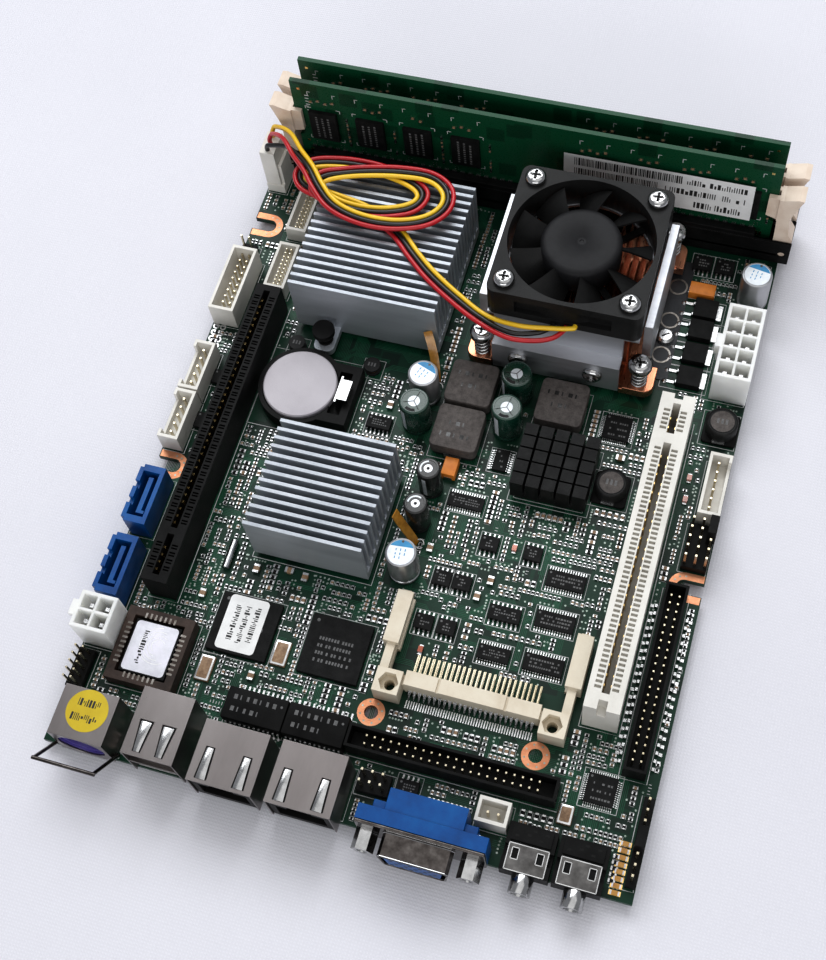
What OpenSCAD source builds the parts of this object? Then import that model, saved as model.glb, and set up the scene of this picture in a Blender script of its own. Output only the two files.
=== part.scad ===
// Embedded single board computer: a 5.75 x 8 inch board with two memory modules, a fan-cooled
// processor, two chipset heatsinks, expansion slots and a row of input and output ports.
// Board space has its origin at the front left corner of the board's top face: +X runs along the
// port edge, +Y runs towards the memory, +Z points up. placed() moves it to the part's own origin,
// midway between the two mounting holes on the board's underside.

/* [Board] */
// Width of the board along the port edge
pcb_w = 146; // [146:0.1:147]
// Length of the board from the port edge to the memory edge
pcb_l = 203.2; // [203.2:0.1:205]
// Thickness of the board
pcb_t = 1.6; // [1.2:0.1:2.4]
// Radius of the two plated mounting holes
hole_r = 1.75; // [1.5:0.05:1.9]
// Length of the solder tails below the board
tail_l = 2.2; // [1.8:0.1:3]

/* [Memory] */
// Length of a memory module
module_l = 133.35; // [133.35]
// Height of a memory module
module_h = 30; // [28:0.5:32]
// Thickness of a memory module's board
module_t = 1.27; // [1.2:0.01:1.3]
// Distance between the two memory sockets
socket_pitch = 7.4; // [7.4:0.1:9]

/* [Processor cooler] */
// Outer size of the square fan
fan_size = 40; // [40]
// Depth of the fan
fan_depth = 10; // [10]
// Distance between the fan's mounting screws
fan_screw_pitch = 32; // [32]
// Number of fan blades
fan_blades = 9; // [7:1:9]
// Distance between the cooler's spring screws
cooler_pitch = 42; // [42]

/* [Chipset heatsinks] */
// Number of fins on the large heatsink
large_fins = 17; // [13:1:18]
// Number of fins on the small heatsink
small_fins = 13; // [9:1:14]
// Height of the large heatsink above the board
large_top = 22; // [18:0.5:24]
// Height of the small heatsink above the board
small_top = 19.5; // [16:0.5:22]

/* [Hidden] */
$fn = 48;
eps = 0.01;
wall = 0.4;

// Places of the main pieces in board space
mount_holes = [[75.7, 27.4], [116.6, 27.4]];
left_notches = [157.2, 78.1];
right_notches = [78.1];
notch_r = 1.8;
notch_end = 4.8;
cooler_c = [97, 150.4];
fan_c = [97.2, 150.3];
fan_z = 22.5;
large_sink = [[24, 64.3], [127.2, 167.5]];
small_sink = [[34.7, 65.3], [59.5, 89.5]];
pin_sink = [[93.5, 113], [91, 108.6]];
large_ears = [[33.6, 122.8], [54.7, 171.9]];
cell_c = [31.6, 107.3];
cell_r = 10;
dimm_x = 75.6;
dimm_y = 180.8;
seat_z = 6.5;
pcie = [[12.1, 19.1], [42.4, 131.4]];
pci = [[125.2, 133.8], [37.7, 122.55]];
vga_x = 97;
rj45_x = [41.3, 60.5];
audio_x = [115.3, 127.4];

module placed()
    translate([-(mount_holes[0][0] + mount_holes[1][0]) / 2, -mount_holes[0][1], pcb_t]) children();

// A box from its lowest to its highest coordinate on each axis
module block(x, y, z)
    translate([x[0], y[0], z[0]])
        cube([x[1] - x[0], y[1] - y[0], z[1] - z[0]]);

// The same box with its four upright edges rounded
module soft_block(x, y, z, r)
    translate([0, 0, z[0]])
        linear_extrude(z[1] - z[0]) {
            translate([x[0] + r, y[0]]) square([x[1] - x[0] - 2 * r, y[1] - y[0]]);
            translate([x[0], y[0] + r]) square([x[1] - x[0], y[1] - y[0] - 2 * r]);
            for (px = [x[0] + r, x[1] - r], py = [y[0] + r, y[1] - r])
                translate([px, py]) circle(r);
        }

module at_corners(c, pitch)
    for (sx = [-1, 1], sy = [-1, 1])
        translate([c[0] + sx * pitch / 2, c[1] + sy * pitch / 2, 0]) children();

// A grid of children, n by pitch on each axis, starting at a corner
module grid(p, n, pitch)
    for (i = [0 : n[0] - 1], j = [0 : n[1] - 1])
        translate([p[0] + i * pitch[0], p[1] + j * pitch[1], 0]) children();

module square_pin(w, z)
    translate([-w / 2, -w / 2, z[0]]) cube([w, w, z[1] - z[0]]);

// A cross recess for a screw head whose top is at z = 0
module cross_recess(size)
    for (turn = [0, 90])
        rotate(turn) translate([-size / 2, -0.35, -0.9]) cube([size, 0.7, 1]);

module pan_head(r, h)
    difference() {
        rotate_extrude()
            polygon([[0, 0], [r, 0], [r, h * 0.55], [r * 0.8, h * 0.9], [r * 0.55, h], [0, h]]);
        translate([0, 0, h]) cross_recess(r * 1.1);
    }

// ---- Board ----

module notch(x_edge, y, dir)
    translate([x_edge, y, -pcb_t - 1]) {
        translate([dir * notch_end, 0, 0]) cylinder(r = notch_r, h = pcb_t + 2);
        translate([dir > 0 ? -1 : -notch_end, -notch_r, 0]) cube([notch_end + 1, 2 * notch_r, pcb_t + 2]);
    }

module pcb() color("darkgreen") placed()
    difference() {
        block([0, pcb_w], [0, pcb_l], [-pcb_t, 0]);
        for (p = mount_holes)
            translate([p[0], p[1], -pcb_t - 1]) cylinder(r = hole_r, h = pcb_t + 2);
        for (y = left_notches) notch(0, y, 1);
        for (y = right_notches) notch(pcb_w, y, -1);
        grid([1.2, 113.8], [2, 5], [2, 2])
            translate([0, 0, -pcb_t - 1]) cylinder(r = 0.5, h = pcb_t + 2);
        at_corners(cooler_c, cooler_pitch)
            translate([0, 0, -pcb_t - 1]) cylinder(r = 1.6, h = pcb_t + 2);
        for (p = large_ears)
            translate([p[0], p[1], -pcb_t - 1]) cylinder(r = 1.6, h = pcb_t + 2);
    }

// Soldered pin ends under the connectors that load the board most
module solder_tails() color("silver") placed()
    translate([0, 0, -pcb_t - tail_l]) {
        grid([141.1 - 2.1, 134.2], [2, 5], [4.2, 4.2]) square_pin(0.9, [0, tail_l]);
        grid([2.6, 28.4], [2, 2], [4.2, 4.2]) square_pin(0.9, [0, tail_l]);
        grid([77.5, 18.2], [22, 2], [2, 2]) square_pin(0.5, [0, tail_l]);
        for (x = rj45_x) grid([x + 3.6, 5.2], [8, 1], [1.27, 1]) square_pin(0.5, [0, tail_l]);
        for (x = rj45_x) grid([x + 0.7, 8.2], [2, 1], [14.7, 1]) square_pin(1, [0, tail_l]);
        grid([vga_x - 9.2, 4.6], [8, 2], [2.3, 2.5]) square_pin(0.5, [0, tail_l]);
        grid([27.9, 10.2], [4, 2], [2.3, 2.6]) square_pin(0.6, [0, tail_l]);
        grid([25.3, 5.3], [2, 1], [12.3, 1]) square_pin(0.9, [0, tail_l]);
        grid([8.9, 5.3], [3, 2], [3.6, 3.2]) square_pin(0.6, [0, tail_l]);
        grid([9, 176.6], [2, 2], [133.2, 15.8]) square_pin(1.2, [0, tail_l]);
    }

// ---- Expansion slots ----

module slot_body(x, y, z_top, key, wide)
    difference() {
        block(x, y, [0, z_top]);
        for (span = key)
            block([(x[0] + x[1] - wide) / 2, (x[0] + x[1] + wide) / 2], span, [2, z_top + 1]);
    }

module contact_gaps(x, span, pitch, z_top, side)
    for (y = [span[0] + pitch : pitch : span[1] - pitch])
        translate([x + (side > 0 ? 1.3 : -2.9), y - pitch * 0.3, z_top - 1.2]) cube([1.6, pitch * 0.6, 2]);

pcie_spans = [[44.2, 55.4], [57.2, 129.6]];
pci_spans = [[41.8, 108.4], [111.2, 119.8]];

module pcie_slot() color([0.1, 0.1, 0.11]) placed() {
    xc = (pcie[0][0] + pcie[0][1]) / 2;
    difference() {
        slot_body(pcie[0], pcie[1], 11.25, pcie_spans, 1.8);
        for (span = pcie_spans) {
            contact_gaps(xc, span, 2, 11.25, 1);
            contact_gaps(xc, span, 2, 11.25, -1);
        }
    }
}

module pci_slot() color([0.93, 0.92, 0.88]) placed() {
    xc = (pci[0][0] + pci[0][1]) / 2;
    difference() {
        slot_body(pci[0], pci[1], 15, pci_spans, 1.9);
        for (span = pci_spans) {
            contact_gaps(xc, span, 1.27, 15, 1);
            contact_gaps(xc, span, 1.27, 15, -1);
        }
        block([xc - 1.1, xc + 1.1], [pci[1][0] - 1, pci[1][0] + 2.4], [10, 16]);
        block([xc - 1.1, xc + 1.1], [pci[1][1] - 1.4, pci[1][1] + 1], [12, 16]);
    }
}

// Sprung contacts in both slots, one row on each side of the card
module slot_contacts() color("gold") placed() {
    for (slot = [[(pcie[0][0] + pcie[0][1]) / 2, pcie_spans, 2, 9.6, 0.95],
                 [(pci[0][0] + pci[0][1]) / 2, pci_spans, 2.54, 13.2, 1]])
        for (span = slot[1], side = [-1, 1])
            for (y = [span[0] + slot[2] : slot[2] : span[1] - slot[2]])
                translate([slot[0] + side * (slot[4] - 0.15) - 0.1, y - 0.3, 4])
                    cube([0.2, 0.6, slot[3] - 4]);
}

// ---- Memory ----

pivot_dx = 4;
pivot_z = 4;

module dimm_socket(y) {
    x0 = dimm_x - module_l / 2;
    x1 = dimm_x + module_l / 2;
    difference() {
        union() {
            block([x0 + 4, x1 - 4], [y - 3.1, y + 3.1], [0, 10.5]);
            for (side = [-1, 1])
                block([x0 - 6.2, x1 + 6.2], [y + side * 3.025 - 0.375, y + side * 3.025 + 0.375], [0, 9]);
        }
        block([x0 + 3, x1 - 3], [y - 0.8, y + 0.8], [seat_z - 0.05, 12]);
        for (x = [x0 - pivot_dx, x1 + pivot_dx])
            translate([x, y, pivot_z]) rotate([90, 0, 0]) cylinder(r = 0.95, h = 8, center = true);
    }
    block([dimm_x + 2.5, dimm_x + 3.5], [y - 0.9, y + 0.9], [seat_z - 0.3, seat_z + 2.7]);
}

module dimm_sockets() color([0.09, 0.09, 0.09]) placed() {
    dimm_socket(dimm_y);
    dimm_socket(dimm_y + socket_pitch);
}

// A module stands on its gold edge, with two side notches for the latches and one key below
module memory_board(y) {
    x0 = dimm_x - module_l / 2;
    x1 = dimm_x + module_l / 2;
    difference() {
        block([x0, x1], [y - module_t / 2, y + module_t / 2], [seat_z, seat_z + module_h]);
        for (x = [x0, x1], z = [seat_z + 9.5, seat_z + 17.3])
            translate([x, y, z]) rotate([90, 0, 0]) cylinder(r = 1.6, h = 3, center = true);
        block([dimm_x + 2.2, dimm_x + 3.8], [y - 2, y + 2], [seat_z - 1, seat_z + 3]);
    }
}

module memory_chips(y) {
    for (i = [0 : 7], side = [-1, 1]) {
        x = dimm_x - 58.4 + i * 13.6 + (i > 3 ? 21.5 : 0);
        yc = y + side * (module_t / 2 + 0.55);
        block([x - 4, x + 4], [yc - 0.55, yc + 0.55], [seat_z + 8.5, seat_z + 19.5]);
    }
}

module memory_front() color("forestgreen") placed() memory_board(dimm_y);
module memory_back() color("forestgreen") placed() memory_board(dimm_y + socket_pitch);
module memory_front_chips() color([0.12, 0.12, 0.13]) placed() memory_chips(dimm_y);
module memory_back_chips() color([0.12, 0.12, 0.13]) placed() memory_chips(dimm_y + socket_pitch);

// A latch in the plane of its swing, with x measured outward from the module's edge
latch_profile = [[1, 2.2], [6, 2.2], [6, 9.5], [4.6, 12], [4.2, 19], [6.2, 25.5], [6.8, 27], [5.4, 27.2],
    [1.6, 26], [-2.3, 26], [-2.3, 18.6], [0.8, 17.4], [1, 12]];

module latch(x_edge, y, dir)
    translate([x_edge, y, 0]) mirror([dir > 0 ? 0 : 1, 0, 0]) {
        difference() {
            rotate([90, 0, 0]) linear_extrude(5, center = true) polygon(latch_profile);
            translate([-4, -0.85, 12]) cube([4.5, 1.7, 16]);
            translate([-4, -3, 17]) cube([4.6, 2.15 - 1.25, 12]);
            translate([-4, 2.1, 17]) cube([4.6, 1, 12]);
        }
        translate([-0.7, -0.6, seat_z + 16.7]) cube([1.6, 1.2, 1.2]);
        translate([pivot_dx, 0, pivot_z]) rotate([90, 0, 0]) cylinder(r = 0.9, h = 6.2, center = true);
    }

module latch_front_left() color("antiquewhite") placed() latch(dimm_x - module_l / 2, dimm_y, -1);
module latch_front_right() color("antiquewhite") placed() latch(dimm_x + module_l / 2, dimm_y, 1);
module latch_back_left() color("antiquewhite") placed()
    latch(dimm_x - module_l / 2, dimm_y + socket_pitch, -1);
module latch_back_right() color("antiquewhite") placed()
    latch(dimm_x + module_l / 2, dimm_y + socket_pitch, 1);

// ---- Processor cooler ----

fan_bore = fan_size / 2 - 1.2;
hub_r = 10.4;

module fan_frame() color([0.1, 0.1, 0.1]) placed() translate([fan_c[0], fan_c[1], fan_z]) {
    half = fan_size / 2;
    difference() {
        soft_block([-half, half], [-half, half], [0, fan_depth], 2.4);
        translate([0, 0, -1]) cylinder(r = fan_bore, h = fan_depth + 2);
        at_corners([0, 0], fan_screw_pitch) translate([0, 0, -1]) cylinder(r = 1.7, h = fan_depth + 2);
        for (turn = [0 : 90 : 270])
            rotate(turn) translate([0, 0, 2.6]) difference() {
                translate([-12.5, half - 1.4, 0]) cube([25, 2, fan_depth - 5.2]);
                cylinder(r = half - 0.3, h = fan_depth);
            }
    }
    difference() {
        union() {
            cylinder(r = 9, h = 1);
            cylinder(r = 3.2, h = 7);
            for (turn = [45 : 90 : 315])
                rotate(turn) translate([8.5, -0.9, 0]) cube([fan_bore - 8.2, 1.8, 1]);
        }
        translate([0, 0, 0.6]) cylinder(r = 2.2, h = 8);
    }
}

module fan_bearing() color("goldenrod") placed() translate([fan_c[0], fan_c[1], fan_z + 0.6])
    difference() {
        cylinder(r = 2.2, h = 6.2);
        translate([0, 0, 0.6]) cylinder(r = 1.05, h = 8);
    }

// A blade is a slab tilted about the spoke it lies on and cut to the fan's annulus
module fan_blade(z_mid)
    intersection() {
        difference() {
            translate([0, 0, 2.1]) cylinder(r = fan_bore - 0.6, h = fan_depth - 2.6);
            translate([0, 0, -1]) cylinder(r = hub_r - 0.4, h = fan_depth + 2);
        }
        translate([0, 0, z_mid]) rotate([40, 0, 0]) translate([0, -7.5, -0.45]) cube([25, 15, 0.9]);
    }

module fan_rotor() color([0.13, 0.13, 0.14]) placed() translate([fan_c[0], fan_c[1], fan_z]) {
    difference() {
        union() {
            rotate_extrude()
                polygon([[0, 1.8], [hub_r, 1.8], [hub_r, 9.1], [hub_r - 0.7, 9.8], [0, 9.8]]);
            for (i = [0 : fan_blades - 1])
                rotate(i * 360 / fan_blades) fan_blade(5.9);
        }
        translate([0, 0, 1]) difference() {
            cylinder(r = hub_r - 0.9, h = 7.6);
            translate([0, 0, 6.9]) cylinder(r = 2, h = 2);
        }
        translate([0, 0, 9.5]) cylinder(r = 1.1, h = 1);
    }
    translate([0, 0, 1.8]) cylinder(r = 1, h = 7);
}

module small_screws() color("lightgray") placed() {
    translate([fan_c[0], fan_c[1], fan_z]) at_corners([0, 0], fan_screw_pitch) {
        translate([0, 0, fan_depth]) pan_head(2.7, 1.9);
        translate([0, 0, 0.2]) cylinder(r = 1.4, h = fan_depth - 0.2);
    }
    for (x = [86.3, 106.2])
        translate([x, 126.9, 8.6]) rotate([90, 0, 0]) pan_head(2.6, 1.7);
}

base = [[72, 122], [126.6, 174.2]];

module cooler_base() color([0.85, 0.5, 0.33]) placed()
    difference() {
        soft_block(base[0], base[1], [2, 5], 2.5);
        at_corners(cooler_c, cooler_pitch) translate([0, 0, 1]) cylinder(r = 1.5, h = 5);
        block([73.9, 120.1], [base[1][0] + 7.5, base[1][1] - 7.5], [4.2, 6]);
        block([79, 114.2], [base[1][0] - 1, base[1][0] + 8], [4.2, 6]);
        block([79, 113.3], [base[1][0] - 1, 127.9], [1, 6]);
        for (x = [base[0][0] - 1, base[0][1] - 3.4])
            block([x, x + 4.4], [base[1][0] + 7.9, base[1][1] - 7.9], [1, 6]);
    }

// Upright copper fins on a thin floor, between the two side plates
module cooler_fins() color([0.8, 0.47, 0.3]) placed() {
    block([80, 114], [134.4, 166.4], [4.2, 5]);
    for (i = [0 : 16])
        translate([80 + i * (34 - 0.5) / 16, 134.4, 4.5]) cube([0.5, 32, 16.7]);
}

// A folded aluminium shroud in front of the fins: front wall, ledge, riser and fan seat
module cooler_bracket() color("silver") placed() {
    difference() {
        union() {
            block([79.2, 113.1], [126.9, 127.9], [2, 13]);
            block([79.2, 113.1], [126.9, 131.6], [12.1, 13]);
            block([79.2, 113.1], [130.6, 131.6], [12.1, 22.5]);
            block([77.4, 117], [130.6, 170.2], [21.5, 22.5]);
        }
        translate([fan_c[0], fan_c[1], 20]) cylinder(r = 18.4, h = 4);
        for (x = [86.3, 106.2])
            translate([x, 126, 8.6]) rotate([-90, 0, 0]) cylinder(r = 1.3, h = 4);
    }
}

module cooler_side_plates() color("gainsboro") placed() {
    block([117.4, 119.6], [134.3, 166.5], [4.2, 24]);
    block([74.4, 76.6], [134.3, 166.5], [4.2, 24]);
}

module cooler_backplate() color([0.15, 0.15, 0.16]) placed()
    difference() {
        union() {
            for (turn = [45, 135])
                translate([cooler_c[0], cooler_c[1], -pcb_t - 1.4]) rotate(turn)
                    translate([-34, -5, 0]) cube([68, 10, 1.4]);
            at_corners(cooler_c, cooler_pitch)
                translate([0, 0, -pcb_t - tail_l]) cylinder(r = 3.4, h = tail_l);
        }
        at_corners(cooler_c, cooler_pitch) translate([0, 0, -6]) cylinder(r = 1.3, h = 6);
    }

module spring_screws() color("lightgray") placed()
    at_corners(cooler_c, cooler_pitch) {
        translate([0, 0, 12.6]) pan_head(3.1, 2.4);
        translate([0, 0, -pcb_t - tail_l + 0.2]) cylinder(r = 1.2, h = 12.6 + pcb_t + tail_l);
    }

module cooler_springs() color("silver") placed()
    at_corners(cooler_c, cooler_pitch)
        for (i = [0 : 5])
            translate([0, 0, 5.42 + i * 1.352]) rotate_extrude() translate([2.2, 0]) circle(0.42);

module cpu_package() color([0.18, 0.35, 0.2]) placed() {
    block([cooler_c[0] - 17.5, cooler_c[0] + 17.5], [cooler_c[1] - 17.5, cooler_c[1] + 17.5], [0, 1.2]);
    block([cooler_c[0] - 6, cooler_c[0] + 6], [cooler_c[1] - 5, cooler_c[1] + 5], [1.2, 2]);
}

// ---- Chipset ----

module finned_sink(x, y, z, count, fin_t) {
    block(x, y, [z[0], z[0] + 3]);
    pitch = (y[1] - y[0] - fin_t) / (count - 1);
    for (i = [0 : count - 1])
        block(x, [y[0] + i * pitch, y[0] + i * pitch + fin_t], [z[0] + 3 - eps, z[1]]);
}

module chipset_heatsink() color([0.62, 0.65, 0.68]) placed()
    difference() {
        union() {
            finned_sink(large_sink[0], large_sink[1], [1.9, large_top], large_fins, 0.9);
            soft_block([30.9, 36.6], [119.2, 130], [1.9, 3.9], 1.8);
            soft_block([51.8, 57.5], [165, 175.4], [1.9, 3.9], 1.8);
        }
        for (p = large_ears) translate([p[0], p[1], 0]) cylinder(r = 1.7, h = 6);
    }

module io_hub_heatsink() color([0.62, 0.65, 0.68]) placed()
    finned_sink(small_sink[0], small_sink[1], [1.9, small_top], small_fins, 0.9);

module pin_fin_heatsink() color([0.07, 0.07, 0.07]) placed() {
    block(pin_sink[0], pin_sink[1], [1.7, 3.4]);
    grid([pin_sink[0][0], pin_sink[1][0]], [5, 5], [4.02, 3.6])
        translate([0, 0, 3.3]) cube([3.4, 3.2, 5.9]);
}

module chipset_packages() color([0.15, 0.2, 0.15]) placed() {
    block([27.2, 61.2], [130.4, 164.4], [0, 1.9]);
    block([36, 64], [61, 88], [0, 1.9]);
    block([94.8, 111.8], [91.8, 107.8], [0, 1.7]);
}

// Split nylon pins that hold the large heatsink down
module push_pins() color([0.05, 0.05, 0.05]) placed()
    for (p = large_ears) translate([p[0], p[1], 0]) {
        translate([0, 0, -pcb_t - 1.5]) cylinder(r = 1.4, h = pcb_t + 10);
        translate([0, 0, 7.4]) cylinder(r = 3, h = 1.7);
        translate([0, 0, 3.9]) cylinder(r = 2.1, h = 0.6);
    }

// ---- Battery ----

module battery_holder() color([0.08, 0.08, 0.08]) placed()
    difference() {
        union() {
            translate([cell_c[0], cell_c[1], 0]) cylinder(r = cell_r + 1.5, h = 4.6);
            block([cell_c[0], 46.6], [98.4, 116.2], [0, 4.6]);
        }
        translate([cell_c[0], cell_c[1], 2.2]) cylinder(r = cell_r + 0.3, h = 4);
        block([41, 44.4], [101, 113.8], [2.2, 6]);
    }

module coin_cell() color("silver") placed() translate([cell_c[0], cell_c[1], 2.3])
    rotate_extrude()
        polygon([[0, 0], [8.6, 0], [8.8, 0.6], [cell_r - 0.3, 0.7], [cell_r, 1], [cell_r, 2.9],
            [cell_r - 0.3, 3.2], [0, 3.2]]);

module battery_clip() color("silver") placed() {
    block([42.4, 42.9], [103.5, 111.3], [2.2, 7]);
    block([42.4, 45.6], [104.4, 110.4], [6.6, 7]);
    block([45.2, 45.6], [105.2, 109.6], [4.6, 6.7]);
}

// ---- Cable connectors ----

module sata_socket(x, y)
    difference() {
        union() {
            difference() {
                block([x, x + 6.8], [y, y + 16.3], [0, 8.8]);
                block([x + 1.2, x + 5.6], [y + 1.9, y + 14.4], [1.4, 10]);
                block([x - 1, x + 0.9], [y - 1, y + 0.9], [-1, 10]);
                block([x - 1, x + 0.9], [y + 15.4, y + 18], [-1, 10]);
            }
            block([x + 3, x + 4.3], [y + 3, y + 13.3], [1.3, 8]);
            block([x + 4.2, x + 5.1], [y + 3, y + 3.9], [1.3, 8]);
        }
        block([x - 1, x + 2], [y + 5, y + 6.6], [7.2, 10]);
        block([x - 1, x + 2], [y + 9.7, y + 11.3], [7.2, 10]);
    }

module sata_sockets() color("royalblue") placed() {
    sata_socket(0.1, 37.1);
    sata_socket(0.1, 56.9);
}

module power_header(x, y, rows, latch_y)
    difference() {
        union() {
            block([x, x + 9.6], [y, y + (rows - 1) * 4.2 + 5.4], [0, 12.8]);
            block([x - 1.4, x + 0.5], [latch_y, latch_y + 4], [5.5, 12.8]);
        }
        grid([x + 2.7, y + 2.7], [2, rows], [4.2, 4.2])
            translate([-1.75, -1.75, 3.5]) cube([3.5, 3.5, 12]);
        block([x - 2, x - 0.6], [latch_y - 1, latch_y + 5], [5, 8.5]);
    }

module power_headers() color([0.93, 0.93, 0.88]) placed() {
    power_header(136.3, 131.5, 5, 140);
    power_header(0, 25.8, 2, 28.6);
}

// Open-topped wafer housing with a lower wall on one side
module wafer(x, y, h, low)
    difference() {
        block(x, y, [0, h]);
        block([x[0] + 0.8, x[1] - 0.8], [y[0] + 0.9, y[1] - 0.9], [1.6, h + 1]);
        if (low < 0) block([x[0] - 1, x[0] + 1], [y[0] + 2.2, y[1] - 2.2], [h - 3.2, h + 1]);
        if (low > 0) block([x[1] - 1, x[1] + 1], [y[0] + 2.2, y[1] - 2.2], [h - 3.2, h + 1]);
    }

module wafer_headers() color([0.94, 0.93, 0.88]) placed() {
    wafer([0, 5.8], [98, 112.9], 7, -1);
    wafer([0, 5.8], [82.6, 97.5], 7, -1);
    wafer([0.2, 7.4], [122.6, 143.6], 8.5, 0);
    wafer([11.5, 17.5], [134.6, 149.6], 5.4, 0);
    wafer([11.5, 17.5], [154, 169.2], 5.4, 0);
    wafer([140.2, 145.9], [95.6, 113], 7, 1);
    wafer([107.2, 114.8], [7.6, 13.6], 7, 0);
    block([0.4, 5.8], [169.1, 177.3], [0, 3.2]);
    block([4.9, 5.8], [170, 176.4], [3.1, 11.4]);
}

module box_header(x, y, h)
    difference() {
        block(x, y, [0, h]);
        block([x[0] + 0.7, x[1] - 0.7], [y[0] + 0.7, y[1] - 0.7], [1.6, h + 1]);
    }

module box_headers() color([0.07, 0.07, 0.07]) placed() {
    box_header([72.9, 124], [16.4, 22.2], 6.6);
    box_header([137, 142.6], [28.1, 76], 6.6);
    block([78, 85.7], [8, 13.1], [0, 2.5]);
    block([139.2, 145.6], [82.4, 94.6], [0, 2.5]);
    block([143.4, 145.9], [3.3, 24.2], [0, 2.5]);
    block([0.6, 4.8], [13.8, 24], [0, 2.2]);
    block([0.4, 4.6], [145.6, 148.4], [0, 2.5]);
}

module header_pins() color("gold") placed() {
    grid([77.5, 18.3], [22, 2], [2, 2]) square_pin(0.5, [1.6, 5.8]);
    grid([138.8, 31], [2, 22], [2, 2]) square_pin(0.5, [1.6, 5.8]);
    grid([79.3, 9.3], [3, 2], [2.54, 2.54]) square_pin(0.6, [2.5, 8.4]);
    grid([139.9, 83.4], [3, 5], [2.54, 2.54]) square_pin(0.6, [2.5, 8.4]);
    grid([144.6, 4.8], [1, 8], [1, 2.54]) square_pin(0.6, [2.5, 8.4]);
    grid([1.6, 14.8], [2, 5], [2, 2]) square_pin(0.5, [2.2, 8]);
    grid([1.4, 147], [2, 1], [2.2, 1]) square_pin(0.5, [2.5, 8.4]);
    grid([2.9, 100.5], [1, 5], [1, 2.5]) square_pin(0.6, [1.6, 6]);
    grid([2.9, 85.1], [1, 5], [1, 2.5]) square_pin(0.6, [1.6, 6]);
    grid([2.6, 170.66], [1, 3], [1, 2.54]) square_pin(0.6, [3.2, 10.2]);
    grid([2.9, 124.2], [2, 10], [2, 2]) square_pin(0.5, [1.6, 6.5]);
    grid([13.9, 136.3], [2, 10], [1.3, 1.3]) square_pin(0.35, [1.6, 4.6]);
    grid([13.9, 155.8], [2, 10], [1.3, 1.3]) square_pin(0.35, [1.6, 4.6]);
    grid([142.8, 98.1], [1, 6], [1, 2.5]) square_pin(0.6, [1.6, 6]);
    grid([109.8, 10.4], [2, 1], [2.5, 1]) square_pin(0.6, [1.6, 6]);
    grid([139, 134.2], [2, 5], [4.2, 4.2]) square_pin(1.1, [3.5, 10]);
    grid([2.7, 28.5], [2, 2], [4.2, 4.2]) square_pin(1.1, [3.5, 10]);
    for (z = [2.4, 4.7])
        for (i = [0 : 24])
            translate([83.7 + i * 1.27 - 0.2, 38.1, z]) cube([0.4, z > 3 ? 4.6 : 5.4, 0.4]);
}

module jumper_cap(x, y, z)
    difference() {
        block(x, y, z);
        block([x[0] + 0.6, x[1] - 0.6], [y[0] + 0.6, y[1] - 0.6], [z[0] - 1, z[1] - 0.8]);
    }

module jumper_cap_right() color([0.1, 0.1, 0.12]) placed()
    jumper_cap([143.85, 146], [89.8, 94.8], [2.6, 9.3]);
module jumper_cap_edge() color([0.1, 0.1, 0.12]) placed()
    jumper_cap([143.5, 145.7], [11.2, 16.1], [2.6, 9.3]);

// Three-wire plug pushed onto the fan header
module fan_plug() color([0.93, 0.92, 0.86]) placed()
    difference() {
        block([0.5, 4.8], [169.3, 177.1], [3.2, 17]);
        grid([2.6, 170.66], [1, 3], [1, 2.54]) translate([-0.6, -0.6, 3]) cube([1.2, 1.2, 8]);
        block([0, 1.4], [170.2, 176.2], [11, 15]);
    }

// ---- Port edge ----

ps2 = [[5.4, 19.4], [-0.6, 11.9]];
bail_pivot = [0.8, 1.6];
usb = [[24.9, 37.9], [-0.9, 15.7]];

module open_shell(x, y, h)
    difference() {
        block(x, y, [0, h]);
        block([x[0] + wall, x[1] - wall], [y[0] - 1, y[1] - wall], [-1, h - wall]);
    }

module ps2_shell() color("lightgray") placed() {
    xc = (ps2[0][0] + ps2[0][1]) / 2;
    difference() {
        open_shell(ps2[0], ps2[1], 13);
        translate([0, bail_pivot[0], bail_pivot[1]]) rotate([0, 90, 0]) cylinder(r = 0.5, h = 30);
    }
    difference() {
        block([ps2[0][0] + wall, ps2[0][1] - wall], [ps2[1][0], ps2[1][0] + 0.4], [0, 12.7]);
        translate([xc, ps2[1][0] - 1, 6.6]) rotate([-90, 0, 0]) cylinder(r = 5.9, h = 3);
    }
}

// A bent wire loop, pivoted in the side walls of the round port's shell, leaning out over the port
bail_lean = 34.7;
bail_h = 13.87;
module ps2_bail() color([0.25, 0.25, 0.26]) placed()
    translate([0, bail_pivot[0], bail_pivot[1]]) rotate([bail_lean, 0, 0]) {
        for (x = [ps2[0][0] - 0.6, ps2[0][1] + 0.6])
            translate([x, 0, 0]) cylinder(r = 0.45, h = bail_h);
        translate([ps2[0][0] - 1.05, 0, bail_h]) rotate([0, 90, 0]) cylinder(r = 0.45, h = 16.1);
        for (x = [ps2[0][0] - 1.05, ps2[0][1] - 0.45])
            translate([x, 0, 0]) rotate([0, 90, 0]) cylinder(r = 0.45, h = 1.5);
    }

finger = [[-1.75, 8.8], [1.75, 8.8], [0.95, 1], [-0.95, 1]];
finger_tongue = [[-1.2, 8.2], [1.2, 8.2], [0.6, 0], [-0.6, 0]];

module usb_shell() color("silver") placed()
    difference() {
        union() {
            open_shell(usb[0], usb[1], 15.2);
            block([usb[0][0], usb[0][1]], [usb[1][0] + 0.1, usb[1][1]], [7.3, 7.9]);
        }
        for (x = [28.6, 34.2])
            translate([x, usb[1][0], 14]) linear_extrude(2) difference() {
                polygon(finger);
                polygon(finger_tongue);
            }
    }

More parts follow.
